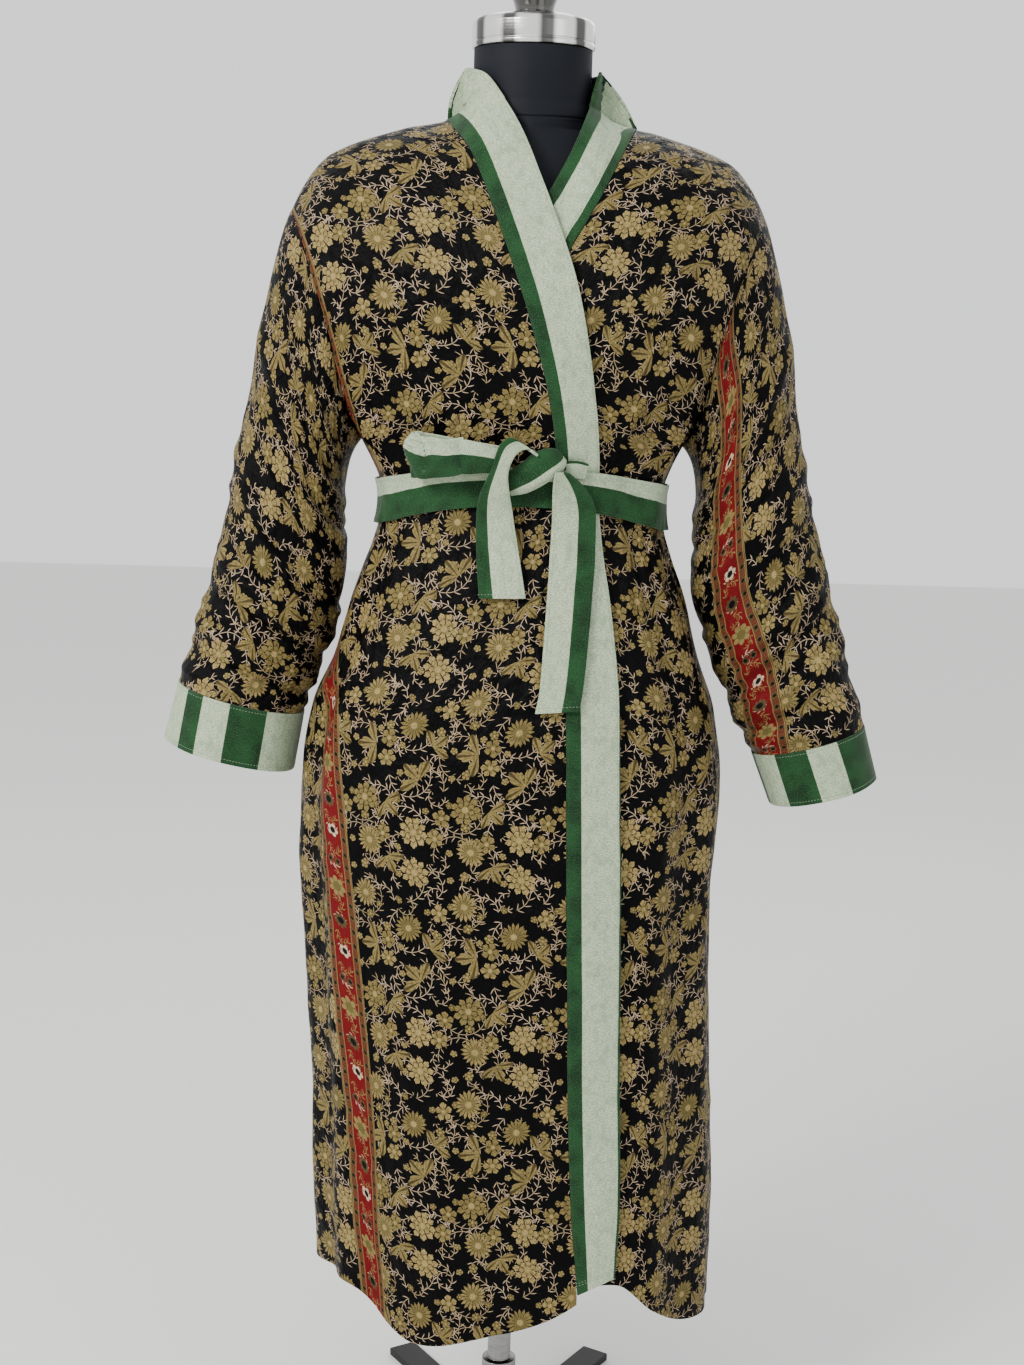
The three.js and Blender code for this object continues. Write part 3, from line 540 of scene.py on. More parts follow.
def cloth_wall(grid, thick, closed=False, flip=False, soft_edge=0.0, normal=None):
    """Points, faces and their grid places for a closed wall: a grid and its copy inside it.
    The soft edge is the width over which the two long edges are rounded."""
    if normal is None:
        normal = normals_of(grid, closed, flip)
    outer, inner = grid.copy(), grid - normal * thick
    if soft_edge:
        run = run_along(grid, 1)
        near = np.minimum(run, run[:, -1:] - run)
        round_off = 1 - np.sqrt(1 - (1 - np.clip(near / soft_edge, 0, 1)) ** 2)
        lift = (thick / 2 - 0.2) * round_off
        outer -= normal * lift[..., None]
        inner += normal * lift[..., None]
    rows, columns = grid.shape[:2]
    kept = columns - 1 if closed else columns
    points = np.concatenate([outer[:, :kept].reshape(-1, 3), inner[:, :kept].reshape(-1, 3)])
    i, j = (a.ravel() for a in np.meshgrid(np.arange(columns - 1), np.arange(rows - 1)))
    zero, one = np.zeros_like(i), np.ones_like(i)
    corners = [
        [(i, j, zero), (i + 1, j, zero), (i + 1, j + 1, zero), (i, j + 1, zero)],
        [(i, j, one), (i, j + 1, one), (i + 1, j + 1, one), (i + 1, j, one)]]
    if not closed:
        k = np.arange(rows - 1)
        first, last = np.zeros_like(k), np.full_like(k, columns - 1)
        out, into = np.zeros_like(k), np.ones_like(k)
        corners.append([(first, k, into), (first, k, out), (first, k + 1, out), (first, k + 1, into)])
        corners.append([(last, k, out), (last, k, into), (last, k + 1, into), (last, k + 1, out)])
    k = np.arange(columns - 1)
    first, last = np.zeros_like(k), np.full_like(k, rows - 1)
    out, into = np.zeros_like(k), np.ones_like(k)
    corners.append([(k, first, into), (k + 1, first, into), (k + 1, first, out), (k, first, out)])
    corners.append([(k, last, out), (k + 1, last, out), (k + 1, last, into), (k, last, into)])
    quads = np.concatenate([np.stack([np.stack(c, -1) for c in quad], 1) for quad in corners])
    if flip:
        quads = quads[:, ::-1]
    index = quads[..., 2] * rows * kept + quads[..., 1] * kept + quads[..., 0] % kept
    return points, index.tolist(), quads


def on_loops(places, quads):
    """The flat place at each corner of each face."""
    return places[quads[..., 1], quads[..., 0]]


def panel_top(x):
    """The top of a panel: the shoulder line, and a straight line across the neck."""
    straight = shoulder(neck_left) + (shoulder(neck_right) - shoulder(neck_left)) * (
        (x - neck_left) / (neck_right - neck_left))
    return np.where((x < neck_left) | (x > neck_right), shoulder(x), straight)


chest_share = 0.6
chest_crowding = 1.4
skirt_share = 16 / 26
row_crowding = 1.35


def chest_height(x, share):
    """The height of a row of the chest, which turns over the shoulder at the end."""
    top = panel_top(x)
    climb = np.minimum(share / chest_share, 1) ** chest_crowding
    turned_over = ((1 - share) / (1 - chest_share)) * (np.pi / 2)
    low = underarm + (top - shoulder_round - underarm) * climb
    return np.where(share < chest_share, low, top - shoulder_round * (1 - np.cos(turned_over)))


def crossing(line_at, share):
    """The x at which a seam line, given by its x at each height, crosses a row of the chest."""
    x = line_at(np.full(share.shape, float(underarm)))
    for _ in range(24):
        x = x + (line_at(chest_height(x, share)) - x) * 0.6
    return x


hem_guess = 200


def panel(start, end, hem, back, inset, u, v):
    """Points of a body panel: u across from one edge line to the other, v up from hem to shoulder."""
    sign = -1 if back else 1
    u, v = np.broadcast_arrays(np.asarray(u, float), np.asarray(v, float))
    share = 1 - (1 - np.minimum(v / skirt_share, 1)) ** row_crowding
    z = hem_guess + (underarm - hem_guess) * share
    for _ in range(6):
        turn = start["turn"](z) * (1 - u) + end["turn"](z) * u
        drop = read(hem, "turn", "z", turn)
        z = drop + (underarm - drop) * share
    low_turn, low_z = turn, z
    share = np.clip((v - skirt_share) / (1 - skirt_share), 0, 0.999)
    from_x, to_x = crossing(start["x"], share), crossing(end["x"], share)
    from_turn = sign * turn_at(from_x, chest_height(from_x, share))
    to_turn = sign * turn_at(to_x, chest_height(to_x, share))
    turn = from_turn * (1 - u) + to_turn * u
    z = chest_height(from_x * (1 - u) + to_x * u, share)
    for _ in range(8):
        z = chest_height(bare(turn, z)[..., 0], share)
    on_skirt = v <= skirt_share
    turn = np.where(on_skirt, low_turn, turn)
    z = np.where(on_skirt, low_z, z)
    return on_body(turn, z, inset(turn, z))


def half_width(side, z):
    return read(body_rings, "z", "left" if side < 0 else "right", z)


def side_edge(side, back):
    """An edge line of a panel down the side seam and round the armhole."""
    seam = 180 - seam_turn if side < 0 else seam_turn
    sign = 1 if back else -1
    return {
        "turn": lambda z: np.full(np.shape(z), sign * seam),
        "x": lambda z: side * half_width(side, z) * read(armhole_line, "z", "share", z)}


top_band = table(
    "seamX seamZ freeX freeZ",
    [79, 258, 119, 274], [69, 364, 121, 360], [63, 472, 117, 469], [59, 578, 114, 575],
    [55, 682, 111, 680], [52, 784, 107, 783], [48, 884, 103, 883], [42, 962, 94, 962],
    [35, 1040, 81, 1040], [33, 1085, 77, 1085], [32, 1129, 76, 1128], [22, 1188, 68, 1194],
    [3, 1255, 54, 1270], [-13, 1302, 38, 1324], [-38, 1368, 12, 1391], [-59, 1416, -12, 1445],
    [-75, 1438, -42, 1489], [-83, 1449, -60, 1500], [-86, 1453, -69, 1503])
under_band = table(
    "seamX seamZ freeX freeZ",
    [-54, 256, -104, 252], [-43, 364, -95, 360], [-37, 472, -91, 469], [-29, 682, -85, 680],
    [-22, 884, -77, 883], [-12, 985, -62, 985], [-9, 1040, -55, 1040], [-6, 1129, -50, 1128],
    [8, 1195, -38, 1206], [25, 1262, -22, 1287], [40, 1322, 8, 1363], [56, 1350, 23, 1389],
    [73, 1381, 40, 1420], [91, 1418, 57, 1463], [103, 1441, 65, 1490], [108, 1449, 69, 1503])
under_layer = 6.5
under_ease = 45


def band_edge(rows):
    """An edge line of a panel along the seam of a band."""
    def line(z):
        return read(rows, "seamZ", "seamX", z)
    return {"turn": lambda z: turn_at(line(z), z), "x": line}


def under_inset(x, z):
    past = x - read(top_band, "freeZ", "freeX", z)
    return -under_layer * (1 - ease(-5, under_ease - 5, past))


def flat(turn, z):
    return np.zeros(np.broadcast(turn, z).shape)


def under_body(turn, z):
    return under_inset(bare(turn, z)[..., 0], z)


def front_right(u, v):
    return panel(side_edge(-1, False), band_edge(top_band), right_hem, False, flat, u, v)


def front_left(u, v):
    return panel(band_edge(under_band), side_edge(1, False), left_hem, False, under_body, u, v)


def robe_back(u, v):
    return panel(side_edge(1, True), side_edge(-1, True), back_hem, True, flat, u, v)


# The print on the satin repeats in a half-drop: large blossoms and cut leaves, smaller blossoms between
# them, and buds and leafy twigs on the black ground. It is laid out here in millimetres.
black_ground = (0.0010, 0.0010, 0.0013, 1)
old_gold = (0.215, 0.160, 0.056, 1)
dull_olive = (0.115, 0.094, 0.03, 1)
straw = (0.43, 0.315, 0.13, 1)
cream_pink = (0.52, 0.39, 0.27, 1)
ink_line = (0.012, 0.008, 0.004, 1)


class Printed:
    """The layers of a print, laid one on another from the ground up."""

    def __init__(self, finish, x, y, ground):
        self.finish = finish
        self.x = x
        self.y = y
        self.ground = ground
        self.colour = ground
        self.wear = finish.noise(finish.node("ShaderNodeCombineXYZ", {}, (x, y, 0.0)), 0.42, 3.0)

    def scatter(self, wide, tall, shift, loose, seed):
        """The place near the middle of each half-drop cell, turned by chance, and three chances."""
        node = self.finish.node
        across = (self.x + shift[0]) / wide
        column = across.math("FLOOR")
        up = (self.y + shift[1]) / tall + (column * 0.5).math("FRACT")
        row = up.math("FLOOR")
        even = column.math("FLOORED_MODULO", 2.0)
        level = row.math("FLOORED_MODULO", 4.0)
        cell = node("ShaderNodeCombineXYZ", {}, (even, level, seed))
        chance = node("ShaderNodeTexWhiteNoise", {"noise_dimensions": "3D"}, {"Vector": cell}, "Color")
        parts = node("ShaderNodeSeparateColor", {}, (chance,))
        near_x = (across - column - 0.5) * wide + (parts - 0.5) * loose
        near_y = (up - row - 0.5) * tall + (parts.other("Green") - 0.5) * loose
        near = node("ShaderNodeCombineXYZ", {}, (near_x, near_y, 0.0))
        spun = node("ShaderNodeVectorRotate", {"rotation_type": "Z_AXIS"}, {
            "Vector": near, "Angle": chance.other("Value") * 6.283})
        return spun, parts.other("Blue"), even * 4.0 + level

    def one_of(self, cell, kinds):
        """1 in those of the eight cells of the repeat that carry this motif."""
        found = 0.0
        for kind in kinds:
            found = cell[2].math("COMPARE", float(kind), 0.5) + found
        return found

    def polar(self, near, base=0.0):
        x, y, z = self.finish.apart(near)
        x = x + base
        reach = (x * x + y * y).math("SQRT")
        return reach, y.math("ARCTAN2", x)

    def lay(self, edge, colour, present=1.0):
        """Colour inside an edge, with a thin rim of ground left round it."""
        self.colour = self.finish.blend(edge.rise(-0.9, -0.4) * present, self.colour, self.ground)
        self.colour = self.finish.blend(edge.rise(-0.15, 0.25) * present, self.colour, colour)

    def blossom(self, cell, size, petals, notch, present=1.0, turn=0.0, heart=0.24):
        """A ring of nicked petals with a dark line between each two, round a stippled heart."""
        near, tint = cell[:2]
        reach, angle = self.polar(near)
        angle = angle + turn
        lobe = abs((angle * (petals / 2)).math("COSINE"))
        nicks = abs((angle * (petals * 1.5)).math("COSINE"))
        uneven = (angle * 2.0 + tint * 6.0).math("SINE") * 0.06
        share = reach / size
        edge = (lobe.math("POWER", 0.8) * notch + nicks * 0.08 + uneven + (0.92 - notch)) * size - reach
        lines = lobe.rise(0.42, 0.16) * share.rise(heart, heart + 0.12)
        stipple = (reach * 3.4).math("SINE") * (angle * 9.0).math("SINE")
        petal = self.finish.blend(tint * 0.8, old_gold, straw)
        petal = self.finish.blend(share.rise(0.85, 0.25) * 0.7, petal, dull_olive)
        petal = self.finish.blend(self.wear.rise(0.45, 0.62) * 0.6, petal, dull_olive)
        veins = abs((angle * (petals * 2.5)).math("SINE")).rise(0.45, 0.1)
        petal = self.finish.blend(veins * share.rise(heart, heart + 0.3) * 0.7, petal, ink_line)
        petal = self.finish.blend(lines * 0.9, petal, ink_line)
        petal = self.finish.blend(share.rise(heart, heart - 0.06), petal, straw)
        petal = self.finish.blend(share.rise(heart, heart - 0.06) * stipple.rise(0.1, 0.5), petal, ink_line)
        self.lay(edge, petal, present)

    def double_blossom(self, cell, size, petals, notch, present):
        self.blossom(cell, size, petals, notch, present)
        self.blossom(cell, size * 0.62, petals - 2, notch, present, 0.3, 0.34)

    def cut_leaf(self, cell, size, lobes, present):
        """A fan of wedge lobes with nicked tips, on a short stalk."""
        near, tint = cell[:2]
        reach, angle = self.polar(near, size * 0.42)
        lobe = abs((angle * (lobes / 2)).math("COSINE"))
        tips = abs((angle * (lobes * 1.5)).math("COSINE"))
        spread = abs(angle).rise(1.75, 1.5)
        edge = (lobe.math("POWER", 0.8) * 0.78 + 0.07 + tips * 0.15) * spread * size - reach
        veins = lobe.rise(0.95, 0.99) * reach.rise(1.0, 2.5)
        leaf = self.finish.blend(tint * 0.5, dull_olive, old_gold)
        leaf = self.finish.blend((reach / size).rise(0.35, 0.95) * 0.7, leaf, old_gold)
        leaf = self.finish.blend(self.wear.rise(0.40, 0.60) * 0.3, leaf, straw)
        side_veins = abs((angle * (lobes * 2.5)).math("SINE")).rise(0.4, 0.1)
        leaf = self.finish.blend(side_veins * reach.rise(3.0, 9.0) * 0.5, leaf, ink_line)
        leaf = self.finish.blend(veins * 0.7, leaf, ink_line)
        self.lay(edge, leaf, present)

    def sprig(self, cell, radius, pairs, leaf_length, colour):
        """A curved twig with slanted pairs of small leaves."""
        near, tint = cell[:2]
        reach, angle = self.polar(near)
        side = abs(reach - radius)
        step = 2 * math.pi * radius / pairs
        slant = (angle * (pairs / (2 * math.pi)) - side * (0.9 / step)).math("FRACT")
        away = abs(slant - 0.5) * step
        middle = side / leaf_length - 0.52
        leaf = (0.24 - middle * middle) * 2.5 - away
        line = 0.30 - side
        shown = angle.math("COSINE").rise(-0.5, -0.4)
        mask = leaf.math("MAXIMUM", line).rise(-0.14, 0.14) * shown
        tone = self.finish.blend(tint * 0.6, colour, old_gold)
        self.colour = self.finish.blend(mask, self.colour, tone)


def satin_print(finish, x, y):
    """The colour of the print at a place on the flat cloth, in millimetres."""
    cloth = Printed(finish, x, y, black_ground)
    cloth.sprig(cloth.scatter(54, 52, (7, 3), 8, 1.0), 22.0, 17, 5.6, cream_pink)
    cloth.sprig(cloth.scatter(54, 52, (34, 29), 8, 2.0), 14.0, 11, 4.8, cream_pink)
    cloth.sprig(cloth.scatter(36, 34, (3, 17), 8, 3.0), 8.5, 7, 4.0, cream_pink)
    cell = cloth.scatter(27, 26, (4, 9), 10, 4.0)
    cloth.blossom(cell, 3.7, 5, 0.22, cloth.one_of(cell, (0, 2, 3, 5, 6)))
    cell = cloth.scatter(27, 26, (17, 22), 10, 5.0)
    cloth.blossom(cell, 5.1, 5, 0.3, cloth.one_of(cell, (1, 4, 6)))
    cell = cloth.scatter(54, 52, (27, 13), 11, 6.0)
    cloth.blossom(cell, 9.4, 5, 0.36, cloth.one_of(cell, (0, 2, 5, 7)))
    cell = cloth.scatter(54, 52, (27, -13), 11, 7.0)
    cloth.cut_leaf(cell, 18.5, 5, cloth.one_of(cell, (0, 3, 6)))
    cloth.blossom(cell, 9.6, 6, 0.34, cloth.one_of(cell, (1, 4)))
    cell = cloth.scatter(54, 52, (0, 0), 13, 8.0)
    cloth.cut_leaf(cell, 22.5, 5, cloth.one_of(cell, (1, 6)))
    cloth.double_blossom(cell, 15.8, 9, 0.36, cloth.one_of(cell, (0, 3, 5)))
    cloth.blossom(cell, 14.8, 17, 0.48, cloth.one_of(cell, (2, 4, 7)))
    return cloth.colour


# The woven border is red between two dotted olive edgings, forty millimetres wide in all.
border_wide = 40.0
border_red = (0.135, 0.0065, 0.008, 1)
border_olive = (0.085, 0.056, 0.024, 1)
border_black = (0.006, 0.006, 0.006, 1)
border_repeat = 125.0

# The motifs of the border: where each starts along the repeat, how far it stands aside, and its radius
border_motifs = (
    (0.0, 0.0, 10.5, 7, old_gold, dull_olive),
    (37.0, 0.0, 7.6, 9, border_olive, border_black),
    (67.0, 1.5, 6.6, 5, cream_pink, border_black),
    (97.0, -4.6, 4.2, 6, border_olive, border_black),
    (97.0, 4.6, 4.2, 6, border_olive, border_black))
dot_apart = 13.5


def border_weave(finish, across, along):
    """The colour of the border at a place on it, in millimetres."""
    edge_in = border_wide / 2 - abs(across - border_wide / 2)
    dots = ((along / dot_apart).math("FRACT") - 0.5) * dot_apart
    drop = edge_in - 5.2
    dot = (dots * dots + drop * drop).math("SQRT")
    worn = abs((along * 0.9).math("SINE")) * abs((edge_in * 1.7).math("SINE"))
    edging = finish.blend(worn.rise(0.3, 0.6), border_olive, border_red)
    edging = finish.blend(dot.rise(3.1, 2.7), edging, border_olive)
    edging = finish.blend(dot.rise(2.0, 1.6), edging, border_black)
    edging = finish.blend(edge_in.rise(1.5, 1.3), edging, border_olive)
    for line in (0.3, 1.9, 8.7):
        edging = finish.blend(abs(edge_in - line).rise(0.5, 0.25), edging, old_gold)
    x = across - border_wide / 2
    field = Printed(finish, x, along, border_red)
    field.sprig(field.scatter(20, border_repeat / 4, (10, 4), 3, 11.0), 6.0, 8, 3.6, old_gold)
    field.sprig(field.scatter(20, border_repeat / 4, (10, 19), 3, 12.0), 4.4, 7, 3.2, cream_pink)
    middle = field.colour
    for start, aside, radius, petals, fill, heart in border_motifs:
        y = ((along / border_repeat + start / border_repeat).math("FRACT") - 0.5) * border_repeat
        off = x - aside
        reach = (off * off + y * y).math("SQRT")
        lobe = abs((y.math("ARCTAN2", off) * (petals / 2)).math("COSINE"))
        petal_edge = (lobe * 0.34 + 0.66) * radius - reach
        middle = finish.blend(petal_edge.rise(-0.9, -0.5), middle, border_red)
        middle = finish.blend(petal_edge.rise(-0.15, 0.25), middle, fill)
        middle = finish.blend(lobe.rise(0.25, 0.08) * petal_edge.rise(-0.1, 0.2) * 0.8, middle, ink_line)
        middle = finish.blend((reach / radius).rise(0.5, 0.42), middle, heart)
    return finish.blend(edge_in.rise(9.1, 9.3), edging, middle)


def satin_finish(name, bordered):
    """Printed satin with a soft shine, and the woven border on the pieces that carry it."""
    finish = Finish(name, {"Specular IOR Level": 0.05, "Anisotropic": 0.3})
    flat_map = finish.laid_flat("flat")
    x, y, z = finish.apart(flat_map)
    colour = satin_print(finish, x * 1000.0, y * 1000.0)
    if bordered:
        across, along, z = finish.apart(finish.laid_flat("border"))
        across, along = across * 1000.0, along * 1000.0
        inside = across.rise(-0.1, 0.1) * across.rise(border_wide + 0.1, border_wide - 0.1)
        colour = finish.blend(inside, colour, border_weave(finish, across, along))
    threads = finish.noise(finish.stretched(flat_map, (1.0, 0.12, 1.0)), 5200.0, 1.0)
    cast = finish.noise(flat_map, 22.0, 3.0)
    colour = finish.blend(threads.rise(0.62, 0.35) * 0.3, colour, black_ground)
    finish.feed(Base_Color=colour, Roughness=0.34 + cast * 0.14 + threads * 0.08)
    slubs = finish.noise(finish.stretched(flat_map, (1.0, 0.5, 1.0)), 420.0, 3.0)
    puckers = finish.noise(finish.stretched(flat_map, (1.0, 0.55, 1.0)), 48.0, 4.0)
    finish.relief(threads * 0.02 + slubs * 0.08 + puckers, 0.012, 0.9)
    return finish


plain_satin = satin_finish("printed_satin", False)
border_satin = satin_finish("printed_satin_with_border", True)


def hemmed(grid):
    """The grid with a shallow line of stitching twelve millimetres above its first row."""
    up = run_along(grid, 0)
    sunk = 0.8 * np.exp(-((up - 12) / 2.2) ** 2) - 0.5 * np.exp(-((up - 3) / 5.0) ** 2)
    return grid - normals_of(grid, False, False) * sunk[..., None]


def border_places(grid, edge_at, first, last, spread=1.0):
    """How far each point lies inside the border, whose edge has a given x at each height."""
    places = flat_lengths(grid)
    flat_across = places[..., 0] * 1000
    for j, row in enumerate(grid):
        away = row[first:last, 0] - edge_at(row[first:last, 2])
        at_edge = np.interp(0.0, away, flat_across[j, first:last])
        places[j, :, 0] = ((flat_across[j] - at_edge) / spread + border_wide) * 0.001
    return places


skirt_border_edge = table(
    "z x",
    [190, -119], [249, -123], [295, -128], [437, -137], [622, -156], [802, -177], [844, -180], [910, -186],
    [958, -178], [1001, -164], [1043, -148], [1067, -143], [1100, -147], [1130, -164])


def right_border_edge(z):
    low = read(skirt_border_edge, "z", "x", z)
    armhole = -half_width(-1, z) * read(armhole_line, "z", "share", z) + 5
    return np.where(z < underarm, low, armhole)


hem_share = 0.06
hem_rows = 16
panel_rows = 250


def body_panel(node, surface, across, finish, middle, border=None):
    """The satin of one body piece, with closer rows of points at its hem."""
    v = np.concatenate([
        np.linspace(0, hem_share, hem_rows, endpoint=False), np.linspace(hem_share, 1, panel_rows)])
    u = np.linspace(0, 1, across + 1)
    grid = hemmed(surface(*np.meshgrid(u, v)))
    waist = int(np.argmin(np.abs(v - skirt_share)))
    points, faces, quads = cloth_wall(grid, cloth_thick)
    maps = {"flat": on_loops(flat_lengths(grid, int(middle * across), waist), quads)}
    if border:
        maps["border"] = on_loops(border(grid), quads)
    return make_piece(node + "_satin", points, faces, finish, node, "satin", maps, 50)


right_front_cloth = body_panel(
    "robe_front_right", front_right, 96, border_satin, 0.6,
    lambda grid: border_places(grid, right_border_edge, 0, len(grid[0])))
left_front_cloth = body_panel("robe_front_left", front_left, 84, plain_satin, 0.6)
back_cloth = body_panel("robe_back", robe_back, 140, plain_satin, 0.5)


# Bands of striped cotton velvet finish both front edges and go round the back of the neck.
# Each is folded double over the raw edge, felled down and topstitched three millimetres in.
sage = (0.485, 0.555, 0.395, 1)
sage_deep = (0.20, 0.27, 0.17, 1)
leaf_green = (0.0095, 0.048, 0.0145, 1)
leaf_green_deep = (0.004, 0.021, 0.007, 1)
velvet_thick = 3.0
band_gap = 0.35
band_wide = 50
band_across = 18


def velvet(name, stripes, beyond=None, join=0.0):
    """Striped velvet: heathered sage pile with green stripes, each between two widths in millimetres.
    The third number moves a stripe over for each metre along. Beyond a join other stripes take over."""
    finish = Finish(name, {"Sheen Weight": 0.22, "Sheen Roughness": 0.4, "Specular IOR Level": 0.1})
    finish.surface.inputs["Sheen Tint"].default_value = (0.75, 0.85, 0.72, 1)
    flat_map = finish.laid_flat("flat")
    x, along, z = finish.apart(flat_map)
    x = x * 1000.0
    pile = finish.noise(finish.stretched(flat_map, (1.0, 0.6, 1.0)), 1500.0, 3.0)
    heather = finish.noise(finish.stretched(flat_map, (1.0, 2.2, 1.0)), 420.0, 4.0)
    brushed_nap = finish.noise(flat_map, 34.0, 4.0)
    wander = (finish.noise(finish.stretched(flat_map, (0.0, 1.0, 0.0)), 60.0) - 0.5) * 0.5

    def striped(rows):
        green = finish.node("ShaderNodeValue", {}, {})
        for low, high, drift in rows:
            at = x + wander - along * drift
            green = green.math("MAXIMUM", at.rise(low - 0.4, low + 0.4) * at.rise(high + 0.4, high - 0.4))
        return green

    green = striped(stripes)
    if beyond:
        past = along.rise(join - 0.0003, join + 0.0003)
        green = green + (striped(beyond) - green) * past
    mottle = finish.noise(finish.stretched(flat_map, (1.0, 0.7, 1.0)), 130.0, 5.0)
    pale = finish.blend((heather * 0.7 + pile * 0.3).rise(0.36, 0.66), sage, sage_deep)
    pale = finish.blend(brushed_nap.rise(0.42, 0.72) * 0.3 + mottle.rise(0.46, 0.66) * 0.45, pale, sage_deep)
    dark = finish.blend(brushed_nap.rise(0.35, 0.7), leaf_green, leaf_green_deep)
    dark = finish.blend(pile.rise(0.5, 0.75) * 0.3, dark, sage_deep)
    colour = finish.blend(green, pale, dark)
    if beyond:
        colour = finish.blend(abs(along - join).rise(0.0007, 0.0003) * 0.8, colour, leaf_green_deep)
    finish.feed(Base_Color=colour, Roughness=0.78 + pile * 0.16)
    finish.relief(pile * 0.6 + heather * 0.8, 0.0006, 0.55)
    return finish


def edge_weighted(count):
    """Shares from 0 to 1 that stand closer near both ends."""
    t = np.linspace(0, 1, count + 1)
    return 0.5 - 0.5 * np.cos(np.pi * t) * (1 - 0.15 * np.sin(np.pi * t) ** 2)


def numbered(rows):
    """A table with a column i more, which rises from 0 at its first row to 1 at its last."""
    count = len(next(iter(rows.values())))
    return dict(rows, i=np.linspace(0, 1, count))


def velvet_piece(name, grid, finish, node, wide=None, thick=velvet_thick, closed=False, flip=False, anchor=0):
    """A piece of velvet on a grid. A strip of a known width keeps its stripes where it is drawn in."""
    points, faces, quads = cloth_wall(grid, thick, closed, flip, 0.0 if closed else 1.3)
    places = flat_lengths(grid, anchor, 0)
    if wide:
        places[..., 0] *= wide * 0.001 / places[:, -1:, 0]
        places[..., 1] = places[:, len(grid[0]) // 2:, 1][:, :1]
    return make_piece(name, points, faces, finish, node, "velvet", {"flat": on_loops(places, quads)}, 50)


def band_grid(rows, seam_first, inset, up):
    """The outer surface of a front band, from its seam to its free edge."""
    marked = numbered(rows)
    u, v = np.meshgrid(edge_weighted(band_across), np.linspace(0, 1, up + 1))
    sewn = band_gap / band_wide + (1 - band_gap / band_wide) * (u if seam_first else 1 - u)
    x = read(marked, "i", "seamX", v) * (1 - sewn) + read(marked, "i", "freeX", v) * sewn
    z = read(marked, "i", "seamZ", v) * (1 - sewn) + read(marked, "i", "freeZ", v) * sewn
    edge_wave = 0.25 * np.sin(z / 11 + 2 * np.sin(z / 37)) * np.exp(-((u - 0.94) / 0.06) ** 2)
    crown = 0.5 * np.sin(np.pi * u) + edge_wave
    return on_chest(x, z, 1 + inset(x, z) + crown)


top_velvet = velvet("velvet_band_right", [(-2, 13.5, 0), (46.5, 60, 4)])
under_velvet = velvet("velvet_band_left", [(-2, 13, 0), (41, 60, 0)])
top_grid = band_grid(top_band, True, flat, 420)
under_grid = band_grid(under_band, False, under_inset, 400)
right_band_cloth = velvet_piece("robe_band_right_velvet", top_grid, top_velvet, "robe_band_right", band_wide)
left_band_cloth = velvet_piece("robe_band_left_velvet", under_grid, under_velvet, "robe_band_left", band_wide)

band_top = 1503
neck_start = 3.8
neck_arch = 5
u, v = np.meshgrid(np.linspace(0, 1, 121), edge_weighted(band_across))
half_turn = np.radians(neck_start + (180 - 2 * neck_start) * u)
seam_x = (neck_left + neck_right) / 2 + (neck_right - neck_left) / 2 * np.cos(half_turn)
seam_z = panel_top(seam_x)
seam_points = on_body(-turn_at(seam_x, seam_z), seam_z, 0)
clear = neck_radius + neck_clear + 1
outward = np.stack([np.cos(half_turn), np.sin(half_turn), np.zeros_like(u)], -1)
free_points = outward * clear + (0, 0, band_top)
rise = (band_gap / band_wide + (1 - band_gap / band_wide) * v)[..., None]
arch = outward * (neck_arch * np.sin(np.pi * v))[..., None]
neck_grid = seam_points * (1 - rise) + free_points * rise + arch
neck_grid = neck_grid.transpose(1, 0, 2)
neck_velvet = velvet("velvet_band_neck", [(38, 60, 0)], [(-2, 12, 0)], 0.128)
neck_band_cloth = velvet_piece(
    "robe_band_neck_velvet", neck_grid, neck_velvet, "robe_band_neck", band_wide, flip=True)


# The sleeves are straight tubes of the printed satin, set into the armholes and pushed up a little,
# so that the cloth lies in cross wrinkles near the wrist. The wearer's left one carries the border.
arm_right = table(
    "run outerX outerZ innerX innerZ depth",
    [0, 245, 1357, 170, 1126, 84], [0.1, 257, 1322, 184, 1106, 80], [0.22, 268, 1272, 187, 1080, 74],
    [0.34, 279, 1214, 186, 1050, 69], [0.46, 289, 1160, 182, 1022, 66], [0.58, 300, 1105, 185, 984, 64],
    [0.7, 312, 1040, 191, 938, 63], [0.8, 325, 985, 201, 905, 62], [0.9, 342, 925, 216, 868, 62],
    [1, 359, 869, 227, 838, 60])
arm_left = table(
    "run outerX outerZ innerX innerZ depth",
    [0, 244, 1358, 170, 1126, 84], [0.1, 254, 1322, 183, 1106, 80], [0.22, 267, 1272, 185, 1078, 74],
    [0.34, 278, 1216, 181, 1044, 69], [0.46, 286, 1160, 180, 1008, 66], [0.58, 296, 1105, 184, 968, 64],
    [0.7, 313, 1040, 200, 920, 62], [0.8, 328, 985, 218, 876, 60], [0.9, 347, 917, 235, 838, 58],
    [1, 371, 840, 254, 806, 56])
sleeve_wrinkles = table(
    "run wide push facing",
    [0.3, 0.03, 4, 250], [0.42, 0.025, -4, 230], [0.56, 0.025, 4, 300], [0.66, 0.02, -4, 260],
    [0.76, 0.018, 5, 280], [0.82, 0.016, -5, 250], [0.88, 0.015, 5, 290], [0.93, 0.014, -5, 260],
    [0.97, 0.012, 4, 280])

